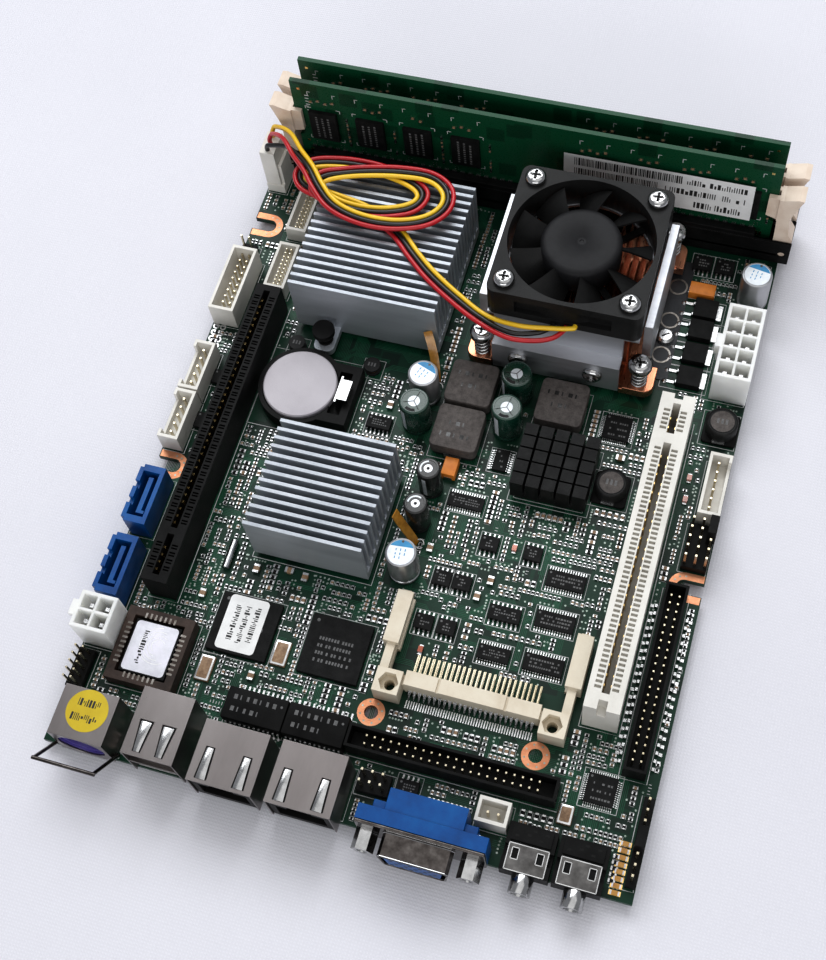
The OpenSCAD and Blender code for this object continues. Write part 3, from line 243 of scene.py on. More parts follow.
def make_finishes():
    trace_finish("solder_mask", (0.0012, 0.016, 0.0085), (0.0026, 0.036, 0.018), 0.34)
    trace_finish("module_mask", (0.002, 0.036, 0.015), (0.004, 0.068, 0.028), 0.30)
    finish("run_green", ((0.009, 0.080, 0.040), (0.014, 0.110, 0.055)), 0.35, mottle=300, specular=0.25)
    finish("silkscreen", (grey(0.46), grey(0.66)), 0.65, mottle=900, bump=0.15, specular=0.3)
    finish("solder", (grey(0.40), grey(0.56), grey(0.70)), 0.28, 1.0, mottle=700, grain=4000, bump=0.25)
    finish("via_tin", ((0.16, 0.22, 0.18), (0.46, 0.52, 0.47)), 0.4, 0.5, mottle=800)
    finish("land_copper", ((0.42, 0.17, 0.085), (0.58, 0.27, 0.15), (0.66, 0.34, 0.20)), 0.38, 0.75,
           mottle=220, grain=2500, bump=0.15)
    finish("gold", ((0.62, 0.40, 0.12), (0.86, 0.62, 0.26), (0.95, 0.74, 0.38)), 0.25, 1.0, mottle=500)
    finish("black_plastic", (grey(0.004), grey(0.008), grey(0.012)), 0.45, mottle=160, grain=3800, bump=0.18,
           specular=0.12)
    finish("fan_plastic", (grey(0.008), grey(0.013), grey(0.018)), 0.42, mottle=120, grain=3200, bump=0.3,
           specular=0.2)
    finish("hub_plastic", (grey(0.012, (1, 1, 1.1)), grey(0.02, (1, 1, 1.1))), 0.5, mottle=200, grain=4200,
           bump=0.25, specular=0.22)
    finish("white_nylon", ((0.66, 0.64, 0.59), (0.73, 0.71, 0.66), (0.78, 0.76, 0.71)), 0.42, mottle=110,
           grain=3000, bump=0.12, specular=0.45)
    finish("clear_nylon", ((0.80, 0.80, 0.76), (0.86, 0.86, 0.82), (0.90, 0.90, 0.86)), 0.38, mottle=60,
           grain=3000, bump=0.08, specular=0.45)
    finish("cream_plastic", ((0.62, 0.54, 0.42), (0.69, 0.62, 0.50), (0.73, 0.67, 0.55)), 0.45, mottle=140,
           grain=3000, bump=0.15)
    finish("latch_plastic", ((0.66, 0.53, 0.42), (0.75, 0.63, 0.52), (0.80, 0.69, 0.58)), 0.42, mottle=150,
           grain=2800, bump=0.15)
    finish("blue_plastic", ((0.001, 0.052, 0.20), (0.001, 0.078, 0.28), (0.002, 0.105, 0.33)), 0.32,
           mottle=130, grain=3500, bump=0.1, specular=0.3)
    finish("brown_plastic", ((0.030, 0.019, 0.015), (0.050, 0.032, 0.025), (0.070, 0.045, 0.036)), 0.5,
           mottle=260, grain=3200, bump=0.25, specular=0.3)
    finish("chip_resin", (grey(0.005), grey(0.010), grey(0.015)), 0.5, mottle=350, grain=5200, bump=0.3,
           specular=0.14)
    finish("laser_mark", (grey(0.10), grey(0.19)), 0.7, mottle=1500, bump=0.2)
    # Near-black for the flat marks laid over holes, slots and screw recesses: painted shade
    finish("die_resin", (grey(0.004), grey(0.008)), 0.35, mottle=200, grain=4200, bump=0.12, specular=0.2)
    finish("aluminium", ((0.50, 0.53, 0.57), (0.57, 0.60, 0.64), (0.63, 0.66, 0.70)), 0.50, 0.8, mottle=120,
           grain=1700, bump=0.05, stretch=(0.12, 1, 1), rough_range=0.08)
    # A darker copy of the aluminium for the heatsinks' fin tops: painted shade that tones down the light on
    # them
    finish("fin_top_painted_shade", ((0.32, 0.34, 0.37), (0.38, 0.40, 0.43), (0.44, 0.46, 0.49)), 0.5, 0.8, mottle=120,
           grain=1700, bump=0.05, rough_range=0.08)
    finish("satin_steel", ((0.50, 0.51, 0.54), (0.56, 0.57, 0.60), (0.62, 0.63, 0.66)), 0.44, 0.9, mottle=110,
           grain=1800, bump=0.04, stretch=(0.15, 1, 1))
    finish("jack_steel", ((0.08, 0.077, 0.075), (0.13, 0.127, 0.125), (0.20, 0.195, 0.19)), 0.16, 1.0,
           mottle=300, grain=3600, bump=0.05, rough_range=0.06)
    finish("tin_plate", ((0.20, 0.182, 0.178), (0.25, 0.229, 0.224), (0.29, 0.268, 0.262)), 0.30, 1.0,
           mottle=45, grain=6000, bump=0.02, stretch=(1, 0.25, 1), rough_range=0.05)
    finish("chrome", (grey(0.36), grey(0.46), grey(0.54)), 0.16, 1.0, mottle=300, grain=2500, bump=0.04,
           rough_range=0.05)
    finish("mirror_nickel", ((0.06, 0.053, 0.05), (0.10, 0.09, 0.085), (0.16, 0.147, 0.14)), 0.12, 1.0,
           mottle=420, grain=3200, bump=0.06, rough_range=0.05)
    finish("pin_plate", ((0.48, 0.41, 0.27), (0.64, 0.57, 0.42), (0.76, 0.70, 0.56)), 0.24, 1.0, mottle=90,
           grain=2600, bump=0.04)
    finish("pin_tin", (grey(0.42), grey(0.56), grey(0.66)), 0.26, 0.9, mottle=120, grain=2600, bump=0.05)
    finish("contact_tin", ((0.13, 0.115, 0.10), (0.22, 0.20, 0.18), (0.32, 0.30, 0.28)), 0.35, 0.8,
           mottle=600, grain=3000, bump=0.1)
    finish("port_violet", ((0.05, 0.035, 0.20), (0.08, 0.055, 0.28)), 0.4, mottle=200, grain=3200, bump=0.1)
    finish("sheet_grey", ((0.020, 0.021, 0.024), (0.032, 0.034, 0.039)), 0.45, 0.2, mottle=180, grain=3000,
           bump=0.12)
    finish("spring_steel", (grey(0.30), grey(0.48), grey(0.60)), 0.26, 1.0, mottle=300, grain=2400, bump=0.1)
    finish("copper", ((0.50, 0.20, 0.11), (0.72, 0.33, 0.20), (0.80, 0.42, 0.28)), 0.3, 1.0, mottle=160,
           grain=2600, bump=0.12, stretch=(1, 0.1, 1))
    finish("black_anodised", (grey(0.004), grey(0.007), grey(0.012)), 0.34, 0.3, mottle=240, grain=3000,
           bump=0.15, specular=0.15)
    finish("black_steel", (grey(0.02), grey(0.05), grey(0.085)), 0.32, 0.85, mottle=260, grain=2200, bump=0.1)
    finish("package_green", ((0.010, 0.045, 0.024), (0.018, 0.07, 0.038)), 0.4, mottle=400, bump=0.1)
    finish("cell_top", ((0.43, 0.405, 0.43), (0.48, 0.455, 0.48), (0.51, 0.485, 0.51)), 0.55, 0.2, mottle=60,
           grain=5200, bump=0.22, rough_range=0.08)
    finish("can_silver", ((0.40, 0.405, 0.42), (0.48, 0.485, 0.50), (0.55, 0.555, 0.57)), 0.34, 0.85,
           mottle=60, grain=5200, bump=0.03, rough_range=0.06)
    finish("can_face", ((0.60, 0.63, 0.66), (0.72, 0.75, 0.78)), 0.45, 0.3, mottle=500, grain=2600, bump=0.1)
    finish("can_green", ((0.004, 0.030, 0.019), (0.008, 0.050, 0.032)), 0.25, mottle=150, grain=1400,
           coat=0.5)
    finish("can_black", (grey(0.008), grey(0.016)), 0.3, mottle=150, grain=1400, coat=0.4, specular=0.4)
    finish("can_blue", ((0.015, 0.20, 0.42), (0.03, 0.30, 0.55)), 0.4, mottle=500)
    finish("inductor", ((0.070, 0.060, 0.056), (0.105, 0.092, 0.086), (0.135, 0.118, 0.110)), 0.6, mottle=700,
           grain=4200, bump=0.5, patch=0.25, specular=0.35)
    finish("ferrite", (grey(0.012), grey(0.022)), 0.5, mottle=500, grain=3600, bump=0.35, specular=0.25)
    finish("winding", ((0.20, 0.08, 0.03), (0.36, 0.16, 0.07)), 0.32, 0.7, mottle=900)
    finish("ceramic_tan", ((0.20, 0.12, 0.065), (0.30, 0.19, 0.11), (0.38, 0.26, 0.16)), 0.5, mottle=900,
           bump=0.2)
    finish("tantalum", ((0.55, 0.17, 0.02), (0.72, 0.26, 0.035)), 0.45, mottle=500, bump=0.2)
    finish("label_white", ((0.76, 0.76, 0.75), (0.88, 0.88, 0.87)), 0.55, mottle=200, grain=2600, bump=0.12)
    finish("label_bars", (grey(0.010), grey(0.024)), 0.55, mottle=900)
    finish("label_silver", ((0.48, 0.47, 0.52), (0.60, 0.60, 0.64), (0.70, 0.68, 0.75)), 0.34, 0.5,
           mottle=120, grain=4200, bump=0.06)
    finish("label_yellow", ((0.52, 0.38, 0.008), (0.60, 0.46, 0.014)), 0.42, mottle=180, grain=2600,
           bump=0.12)
    finish("kapton", ((0.28, 0.12, 0.012), (0.46, 0.22, 0.03), (0.56, 0.30, 0.05)), 0.22, mottle=220,
           coat=0.5, patch=0.3, bump=0.2)
    finish("glass_red", ((0.35, 0.06, 0.02), (0.55, 0.14, 0.05)), 0.12, mottle=600, coat=0.8)
    finish("crystal_can", (grey(0.45), grey(0.62), grey(0.72)), 0.24, 1.0, mottle=320, grain=2000)
    finish("bearing_brass", ((0.35, 0.24, 0.08), (0.5, 0.36, 0.15)), 0.4, 1.0, mottle=300)
    finish("wire_yellow", ((0.80, 0.50, 0.02), (0.90, 0.61, 0.035)), 0.32, mottle=90, grain=1200, bump=0.06,
           coat=0.2)
    finish("wire_red", ((0.42, 0.008, 0.014), (0.54, 0.014, 0.024)), 0.32, mottle=90, grain=1200, bump=0.06,
           coat=0.2)
    finish("wire_black", (grey(0.008), grey(0.014)), 0.34, mottle=90, grain=1200, bump=0.06, coat=0.2)


def weave(mat, pitch):
    """Adds the warp and weft of a plain cloth to a finish, as relief and as a slight change of tone."""
    tree = mat.node_tree
    wire = tree.links.new
    colour = find_node(mat, "BSDF_PRINCIPLED").inputs["Base Color"]
    place = find_node(mat, "TEX_COORD")
    cross = add_node(tree, "ShaderNodeMath", operation="MULTIPLY")
    for i, way in enumerate(("X", "Y")):
        wave = add_node(tree, "ShaderNodeTexWave", bands_direction=way, Scale=0.314 / pitch, Distortion=0.6,
                        Detail=1.0)
        wire(place.outputs["Object"], wave.inputs["Vector"])
        wire(wave.outputs["Fac"], cross.inputs[i])
    wire(cross.outputs[0], find_node(mat, "BUMP").inputs["Height"])
    tone = add_node(tree, "ShaderNodeMapRange", **{"To Min": 0.94})
    wire(cross.outputs[0], tone.inputs["Value"])
    mix = add_node(tree, "ShaderNodeMix", data_type="RGBA", blend_type="MULTIPLY", Factor=1.0)
    wire(colour.links[0].from_socket, mix.inputs[6])
    wire(tone.outputs[0], mix.inputs[7])
    wire(mix.outputs[2], colour)


def let_light_through(mat, share, depth):
    """Lets some of the light into a pale plastic, to leave it up to depth metres away."""
    shader = find_node(mat, "BSDF_PRINCIPLED")
    shader.inputs["Subsurface Weight"].default_value = share
    shader.inputs["Subsurface Radius"].default_value = (1.0, 0.97, 0.9)
    shader.inputs["Subsurface Scale"].default_value = depth


make_finishes()
F = FINISHES
let_light_through(F["clear_nylon"], 0.8, 0.004)

# ---- Mesh building ----

BOX_FACES = ((0, 3, 2, 1), (4, 5, 6, 7), (0, 1, 5, 4), (1, 2, 6, 5), (2, 3, 7, 6), (3, 0, 4, 7))


class Build:
    """Gathers solids, given in board space, into one mesh. Each solid takes one of the finishes."""

    def __init__(self, *finishes):
        self.finishes = finishes
        self.points, self.faces, self.slots = [], [], []

    def add(self, points, faces, look=0):
        start = len(self.points)
        self.points += points
        self.faces += [tuple(start + i for i in face) for face in faces]
        self.slots += [look] * len(faces)

    def box(self, x, y, z, look=0):
        corners = ((0, 0, 0), (1, 0, 0), (1, 1, 0), (0, 1, 0), (0, 0, 1), (1, 0, 1), (1, 1, 1), (0, 1, 1))
        self.add([at(x[i], y[j], z[k]) for i, j, k in corners], BOX_FACES, look)

    def block(self, centre, size, turn, z, look=0):
        """A box about a centre, turned about z by an angle in degrees."""
        c, s = math.cos(math.radians(turn)), math.sin(math.radians(turn))
        corners = []
        for k in z:
            for u, v in ((-1, -1), (1, -1), (1, 1), (-1, 1)):
                dx, dy = u * size[0] / 2, v * size[1] / 2
                corners.append(at(centre[0] + dx * c - dy * s, centre[1] + dx * s + dy * c, k))
        self.add(corners, BOX_FACES, look)

    def prism(self, outline, z, look=0):
        n = len(outline)
        points = [at(x, y, k) for k in z for x, y in outline]
        sides = [(i, (i + 1) % n, n + (i + 1) % n, n + i) for i in range(n)]
        self.add(points, sides + [tuple(range(n - 1, -1, -1)), tuple(range(n, 2 * n))], look)

    def strip(self, inner, outer, z, look=0):
        """A flat band between two lines of the same number of points, at height z."""
        n = len(inner)
        points = [at(x, y, z) for x, y in (*inner, *outer)]
        self.add(points, [(i, i + 1, n + i + 1, n + i) for i in range(n - 1)], look)

    def run(self, line, width, z, look=0):
        """A flat line of constant width along the given points."""
        left, right = [], []
        for i, (x, y) in enumerate(line):
            ax, ay = line[max(i - 1, 0)]
            bx, by = line[min(i + 1, len(line) - 1)]
            d = math.hypot(bx - ax, by - ay) or 1
            nx, ny = -(by - ay) / d * width / 2, (bx - ax) / d * width / 2
            left.append((x + nx, y + ny))
            right.append((x - nx, y - ny))
        self.strip(right, left, z, look)

    def lathe(self, centre, profile, look=0, parts=24, frame_of=None, spread=360, shut=True):
        """Turns (radius, height) points about the upright through centre, or about frame_of's z."""
        x, y, z = centre
        whole = spread == 360
        count = parts if whole else parts + 1
        points = []
        for r, h in profile:
            for i in range(count):
                a = math.radians(spread * i / parts)
                p = Vector((r * math.cos(a), r * math.sin(a), h))
                if frame_of is not None:
                    p = frame_of @ p
                points.append(at(x + p.x, y + p.y, z + p.z))
        faces = []
        for j in range(len(profile) - 1):
            for i in range(parts):
                a, b = j * count + i, j * count + (i + 1) % count
                faces.append((a, b, b + count, a + count))
        if whole and shut:
            if profile[0][0] > 1e-6:
                faces.append(tuple(range(count - 1, -1, -1)))
            if profile[-1][0] > 1e-6:
                faces.append(tuple(range(len(points) - count, len(points))))
        self.add(points, faces, look)

    def sweep(self, line, radius, look=0, parts=8):
        """A round wire along the given 3-D points, in board space."""
        line = [Vector(p) for p in line]
        points = []
        side = None
        for i, p in enumerate(line):
            along = (line[min(i + 1, len(line) - 1)] - line[max(i - 1, 0)]).normalized()
            if side is None:
                side = along.orthogonal().normalized()
            side = (side - along * side.dot(along)).normalized()
            other = along.cross(side)
            for k in range(parts):
                a = 2 * math.pi * k / parts
                q = p + radius * (math.cos(a) * side + math.sin(a) * other)
                points.append(at(*q))
        faces = [(i * parts + k, i * parts + (k + 1) % parts, (i + 1) * parts + (k + 1) % parts,
                  (i + 1) * parts + k) for i in range(len(line) - 1) for k in range(parts)]
        last = (len(line) - 1) * parts
        faces += [tuple(range(parts - 1, -1, -1)), tuple(range(last, last + parts))]
        self.add(points, faces, look)

    def done(self, name, body="board", replaces=(), bevel=0.0, smooth=35):
        mesh = bpy.data.meshes.new(name)
        mesh.from_pydata(self.points, [], self.faces)
        for key in self.finishes:
            mesh.materials.append(F[key])
        mesh.polygons.foreach_set("material_index", self.slots)
        obj = bpy.data.objects.new(name, mesh)
        bpy.context.scene.collection.objects.link(obj)
        if smooth:
            mesh.shade_smooth()
            mesh.set_sharp_from_angle(angle=math.radians(smooth))
        if bevel:
            edge = obj.modifiers.new("edges", "BEVEL")
            edge.width = bevel * MM
            edge.segments = 2
            edge.angle_limit = math.radians(40)
        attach(obj, body)
        if replaces:
            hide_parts(*replaces)
        return obj


# ---- The CAD frame's own finishes ----

# Finish, the radius in millimetres that the edges are softened to, and the CAD nodes that take them
LOOKS = (
    ("solder_mask", 0, "pcb"),
    ("solder", 0, "solder_tails"),
    ("black_plastic", 0, "pcie_slot"),
    ("white_nylon", 0, "pci_slot"),
    ("gold", 0, "slot_contacts"),
    ("black_plastic", 0.2, "dimm_sockets"),
    ("module_mask", 0, "memory_front memory_back"),
    ("chip_resin", 0.12, "memory_front_chips memory_back_chips"),
    ("latch_plastic", 0.3, "latch_front_left latch_front_right latch_back_left latch_back_right"),
    ("fan_plastic", 0.25, "fan_frame"),
    ("hub_plastic", 0, "fan_rotor"),
    ("bearing_brass", 0, "fan_bearing"),
    ("chrome", 0.06, "small_screws spring_screws"),
    ("copper", 0.15, "cooler_base"),
    ("copper", 0, "cooler_fins"),
    ("satin_steel", 0.12, "cooler_bracket"),
    ("satin_steel", 0.15, "cooler_side_plates"),
    ("black_steel", 0.2, "cooler_backplate"),
    ("spring_steel", 0, "cooler_springs battery_clip"),
    ("package_green", 0, "cpu_package chipset_packages"),
    ("aluminium", 0, "chipset_heatsink io_hub_heatsink"),
    ("black_anodised", 0.12, "pin_fin_heatsink"),
    ("black_plastic", 0.25, "push_pins"),
    ("black_plastic", 0.15, "battery_holder"),
    ("cell_top", 0, "coin_cell"),
    ("blue_plastic", 0.08, "sata_sockets"),
    ("clear_nylon", 0.12, "power_headers"),
    ("tin_plate", 0.08, "ps2_shell usb_shell rj45_shells"),
    ("mirror_nickel", 0, "ps2_bail"),
    ("black_plastic", 0.1, "port_inserts audio_jacks"),
    ("blue_plastic", 0.2, "vga_body"),
    ("mirror_nickel", 0.35, "vga_shell"),
    ("chrome", 0.08, "vga_jackscrews"),
    ("jack_steel", 0.05, "audio_sleeves"),
    ("cream_plastic", 0.08, "card_header"),
    ("black_plastic", 0.06, "box_headers"),
    ("pin_plate", 0.06, "header_pins"),
    ("white_nylon", 0.08, "wafer_headers"),
    ("black_plastic", 0.12, "jumper_cap_right jumper_cap_edge"),
    ("brown_plastic", 0.12, "bios_socket"),
    ("chip_resin", 0.1, "ic_packages"),
    ("inductor", 0, "magnetics"),
    ("can_silver", 0, "capacitors"),
    ("white_nylon", 0.12, "fan_plug"),
    ("wire_yellow", 0, "wire_yellow"),
    ("wire_red", 0, "wire_red"),
    ("wire_black", 0, "wire_black"),
)
DRESS = {node: (look, radius) for look, radius, nodes in LOOKS for node in nodes.split()}


def dress_frame():
    for name, (look, radius) in DRESS.items():
        obj = NODES[name]
        obj.data.materials.clear()
        obj.data.materials.append(F[look])
        if radius:
            weld = obj.modifiers.new("join", "WELD")
            weld.merge_threshold = 2e-6
            edge = obj.modifiers.new("edges", "BEVEL")
            edge.width = radius * MM
            edge.segments = 2
            edge.limit_method = "ANGLE"
            edge.angle_limit = math.radians(50)
            edge.use_clamp_overlap = True
            edge.harden_normals = True


def tint_part(node, look, x, y=(-99, 999), z=(-99, 99)):
    """Gives the faces of a CAD node that lie within a box in board space a finish of their own."""
    mesh = NODES[node].data
    mesh.materials.append(F[look])
    last = len(mesh.materials) - 1
    place = NODES[node].matrix_world
    for face in mesh.polygons:
        spot = (place @ face.center - BOARD) / MM
        if all(low <= spot[i] <= high for i, (low, high) in enumerate((x, y, z))):
            face.material_index = last


dress_frame()
tint_part("port_inserts", "port_violet", (4, 22))
tint_part("port_inserts", "white_nylon", (25.3, 37.5), (0, 13.3))
tint_part("header_pins", "pin_tin", (128, 147), (128, 156))
tint_part("audio_sleeves", "chrome", (115, 139), (-6, -1.05))
# The top faces of both aluminium heatsinks take the darker copy of the aluminium: painted shade on their lit
# fin tops
for sink in ("chipset_heatsink", "io_hub_heatsink"):
    top = span(sink)[2][1]
    tint_part(sink, "fin_top_painted_shade", (0, 150), (0, 200), near(top, 0.02))
tint_part("header_pins", "pin_tin", (-2, 9), (24, 36))

# ---- Fan wires ----

WIRE_D = 1.3
ROUTES = {
    "yellow": ((100.6, 130.3, 24.4), (100.4, 129.4, 24.4), (93.6, 127.9, 24.4), (86.4, 127.3, 23.9),
        (77.5, 129.3, 22.3), (69.1, 133.7, 22.3), (61.1, 138.7, 22.7), (54.8, 143.9, 22.7),
        (49.2, 149.2, 22.7), (42.8, 152.9, 22.7), (36.3, 155.1, 22.7), (29.4, 156.4, 22.7),
        (23.5, 157.5, 22.8), (19.2, 158.9, 23.2), (18.4, 160.4, 23.7), (20.1, 162.6, 24.1),
        (26.1, 164.4, 24.1), (33.6, 164.9, 24.1), (40.7, 164.2, 24.1), (47.1, 162.5, 24.1),
        (50.2, 160.1, 24.1), (49.3, 157.4, 24.1), (44.2, 154.7, 24.1), (37.9, 153.5, 24.1),
        (31.9, 153.7, 24.2), (27.3, 154.9, 24.5), (24.9, 156.6, 24.9), (25, 158.1, 25.3),
        (29.3, 160.4, 25.5), (36.9, 162.7, 25.5), (45.4, 164.2, 25.5), (52.6, 164.2, 25.5),
        (56.8, 161.5, 25.4), (57.5, 157.8, 25.2), (54.8, 153.7, 25.2), (49, 150.8, 25.3),
        (42.1, 149.7, 25.5), (35.3, 150.3, 25.7), (29.5, 152.3, 26.2), (24.9, 156.3, 26.9),
        (20.6, 161.4, 26.8), (15.5, 166.4, 25.8), (10, 172.4, 24.4), (3.5, 176.3, 20.6),
        (2.6, 175.7, 18.6), (2.6, 175.7, 17)),
    "red": ((98.2, 130.3, 23.1), (98.1, 129.4, 23), (95.8, 126.4, 22.9), (91, 124.5, 22.7),
        (84.5, 124, 22.6), (76.4, 126.7, 22.3), (67.7, 131.2, 22.3), (59.4, 136.4, 22.7),
        (53, 141.8, 22.7), (47.5, 146.9, 22.7), (41.6, 150.3, 22.7), (35.6, 152.3, 22.7),
        (28.9, 153.6, 22.7), (22.8, 154.7, 22.8), (17.5, 156.6, 23.2), (15.5, 160.9, 23.7),
        (18.6, 165, 24.1), (25.6, 167.2, 24.1), (33.6, 167.8, 24.1), (41.2, 167, 24.1),
        (48.3, 165, 24.1), (52.9, 161.1, 24.1), (51.4, 155.4, 24.1), (45.1, 152, 24.1),
        (38.1, 150.7, 24.1), (31.5, 150.8, 24.2), (26.1, 152.3, 24.5), (21.8, 155.1, 24.9),
        (22.3, 160.2, 25.3), (28.3, 163.1, 25.5), (36.2, 165.5, 25.5), (45.1, 167.1, 25.5),
        (53.3, 166.9, 25.5), (59.1, 163.2, 25.4), (60.3, 157.1, 25.2), (56.7, 151.5, 25.2),
        (49.8, 148.1, 25.3), (42.2, 146.8, 25.5), (34.7, 147.5, 25.7), (28.1, 149.8, 26.2),
        (22.9, 154.3, 26.9), (18.5, 159.5, 26.8), (13.8, 164.2, 25.8), (9, 169.6, 24.9),
        (3.7, 173.5, 20.8), (2.6, 173.2, 18.5), (2.6, 173.2, 17)),
    "black": ((94.9, 130.3, 23.1), (94.8, 129.4, 23), (91.6, 127, 22.8), (85, 125.6, 22.6),
        (77, 128, 22.3), (68.4, 132.5, 22.3), (60.2, 137.5, 22.7), (53.9, 142.8, 22.7),
        (48.3, 148, 22.7), (42.2, 151.6, 22.7), (36, 153.7, 22.7), (29.2, 155, 22.7),
        (23.1, 156.1, 22.8), (18.3, 157.7, 23.2), (16.9, 160.6, 23.7), (19.4, 163.8, 24.1),
        (25.9, 165.8, 24.1), (33.6, 166.3, 24.1), (40.9, 165.6, 24.1), (47.7, 163.8, 24.1),
        (51.5, 160.6, 24.1), (50.3, 156.4, 24.1), (44.6, 153.3, 24.1), (38, 152.1, 24.1),
        (31.7, 152.3, 24.2), (26.7, 153.6, 24.5), (23.3, 155.8, 24.9), (23.6, 159.2, 25.3),
        (28.8, 161.7, 25.5), (36.6, 164.1, 25.5), (45.3, 165.7, 25.5), (53, 165.6, 25.5),
        (57.9, 162.3, 25.4), (58.9, 157.5, 25.2), (55.7, 152.6, 25.2), (49.4, 149.4, 25.3),
        (42.2, 148.3, 25.5), (35, 148.9, 25.7), (28.8, 151.1, 26.2), (23.9, 155.3, 26.9),
        (19.6, 160.5, 26.8), (14.6, 165.3, 24.9), (9.6, 169, 22.4), (3.3, 170.5, 19.4),
        (2.6, 170.7, 18.2), (2.6, 170.7, 17)),
}


def add_wires():
    """The fan's three wires, each from the fan's front edge to its own hole in the plug."""
    for colour, route in ROUTES.items():
        data = bpy.data.curves.new("fan_wire_" + colour, "CURVE")
        data.dimensions = "3D"
        data.bevel_depth = WIRE_D / 2 * MM
        data.bevel_resolution = 4
        data.resolution_u = 8
        data.use_fill_caps = True
        line = data.splines.new("BEZIER")
        line.bezier_points.add(len(route) - 1)
        points = [at(*p) for p in route]
        for i, (knot, p) in enumerate(zip(line.bezier_points, points)):
            a, b = points[max(i - 1, 0)], points[min(i + 1, len(points) - 1)]
            along = (b - a).normalized()
            knot.co = p
            knot.handle_left_type = knot.handle_right_type = "FREE"
            knot.handle_left = p - along * (p - a).length / 3
            knot.handle_right = p + along * (b - p).length / 3
        obj = bpy.data.objects.new("fan_wire_" + colour, data)
        bpy.context.scene.collection.objects.link(obj)
        data.materials.append(F["wire_" + colour])
        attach(obj, "board")
        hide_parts("wire_" + colour)


add_wires()

# ---- What stands on the board ----

class Ground:
    """Which parts of the board's top face are taken, on a fine grid."""
    CELL = 0.4

    def __init__(self):
        self.nx, self.ny = int(BOARD_X / self.CELL) + 1, int(BOARD_Y / self.CELL) + 1
        self.full = bytearray(self.nx * self.ny)

    def cells(self, x, y):
        for j in range(max(0, int(y[0] / self.CELL)), min(self.ny - 1, int(y[1] / self.CELL)) + 1):
            for i in range(max(0, int(x[0] / self.CELL)), min(self.nx - 1, int(x[1] / self.CELL)) + 1):
                yield j * self.nx + i

    def take(self, x, y, pad=0.0):
        for i in self.cells(wider(x, pad), wider(y, pad)):
            self.full[i] = 1

    def free(self, x, y):
        if x[0] < 0.6 or y[0] < 0.6 or x[1] > BOARD_X - 0.6 or y[1] > BOARD_Y - 0.6:
            return False
        return not any(self.full[i] for i in self.cells(x, y))


ground = Ground()
LIFTED = {"wire_yellow", "wire_red", "wire_black", "fan_rotor", "fan_frame", "fan_bearing", "cooler_fins",
          "pcb", "solder_tails", "ps2_bail", "coin_cell", "small_screws", "slot_contacts", "header_pins",
          "card_header"}
HOLES = ((75.7, 27.4), (116.6, 27.4))
NOTCHES = ((0, 157.2), (0, 78.1), (BOARD_X, 78.1))

for node in DRESS:
    if node not in LIFTED:
        for x, y, z in solids(node):
            if z[0] < 2.5:
                ground.take(x, y, 0.2)
for x, y in (((74.3, 82.2), (30, 58)), ((115.6, 123.5), (30, 58)), ((82, 116), (30, 43.8))):
    ground.take(x, y)
for x, y in HOLES:
    ground.take(near(x, 3.6), near(y, 3.6))
for x, y in NOTCHES:
    ground.take(near(x, 8.8), near(y, 4.4))

chips = Build("solder", "laser_mark", "silkscreen")


def leg(root, out, width, rise, reach=1.2, thick=0.18, to=None):
    """A gull-wing lead from root on a body's side, out along a unit vector, down to the board."""
    target = to or chips
    (x, y), (ox, oy) = root, out
    side = (-oy * width / 2, ox * width / 2)
    line = ((-0.3, rise), (0.3, rise), (0.55, thick), (reach, thick), (reach, 0.01), (0.5, 0.01),
            (0.2, rise - thick), (-0.3, rise - thick))
    points = []
    for s in (-1, 1):
        for u, z in line:
            points.append(at(x + ox * u + side[0] * s, y + oy * u + side[1] * s, z))
    n = len(line)
    quads = ((0, 1, 6, 7), (1, 2, 5, 6), (2, 3, 4, 5))
    faces = list(quads) + [(n + d, n + c, n + b, n + a) for a, b, c, d in quads]
    faces += [(i, n + i, n + (i + 1) % n, (i + 1) % n) for i in range(n)]
    target.add(points, faces, 0)


def frame_line(x, y, width=0.2, z=0.03):
    """A printed outline round a part."""
    chips.run(((x[0], y[0]), (x[1], y[0]), (x[1], y[1]), (x[0], y[1]), (x[0], y[0])), width, z, 2)


def leaded(x, y, top, sides, pitch, width=0.32, reach=1.2):
    """Leads along the named sides of a package, its pin 1 dot, its outline and its printed bars."""
    rise = top * 0.5
    for side in sides:
        along, across = (x, y) if side in "ns" else (y, x)
        count = max(2, int((along[1] - along[0] - 0.5) / pitch) + 1)
        start = (along[0] + along[1] - (count - 1) * pitch) / 2
        for i in range(count):
            u = start + i * pitch
            root = {"n": (u, y[1]), "s": (u, y[0]), "e": (x[1], u), "w": (x[0], u)}[side]
            out = {"n": (0, 1), "s": (0, -1), "e": (1, 0), "w": (-1, 0)}[side]
            leg(root, out, width, rise, reach)
    px, py = (reach if "e" in sides else 0.3), (reach if "n" in sides else 0.3)
    frame_line((x[0] - px - 0.2, x[1] + px + 0.2), (y[0] - py - 0.2, y[1] + py + 0.2))
    ground.take((x[0] - px - 0.4, x[1] + px + 0.4), (y[0] - py - 0.4, y[1] + py + 0.4))
    chips.lathe((x[0] + 0.8, y[1] - 0.8, top + 0.004), ((0.3, 0), (0, 0.005)), 1, 10)
    rows = 3 if y[1] - y[0] > 3 else 2
    step = (y[1] - y[0] - 1.6) / rows
    if x[1] - x[0] > 3.5:
        for row in range(rows):
            u = x[0] + 1.5
            v = y[0] + 0.9 + row * step
            while u < x[1] - 1.2:
                w = rng.uniform(0.25, 0.6)
                if rng.random() < 0.8:
                    chips.box((u, u + w), (v, v + min(0.5, step * 0.5)), (top, top + 0.006), 1)
                u += w + 0.22


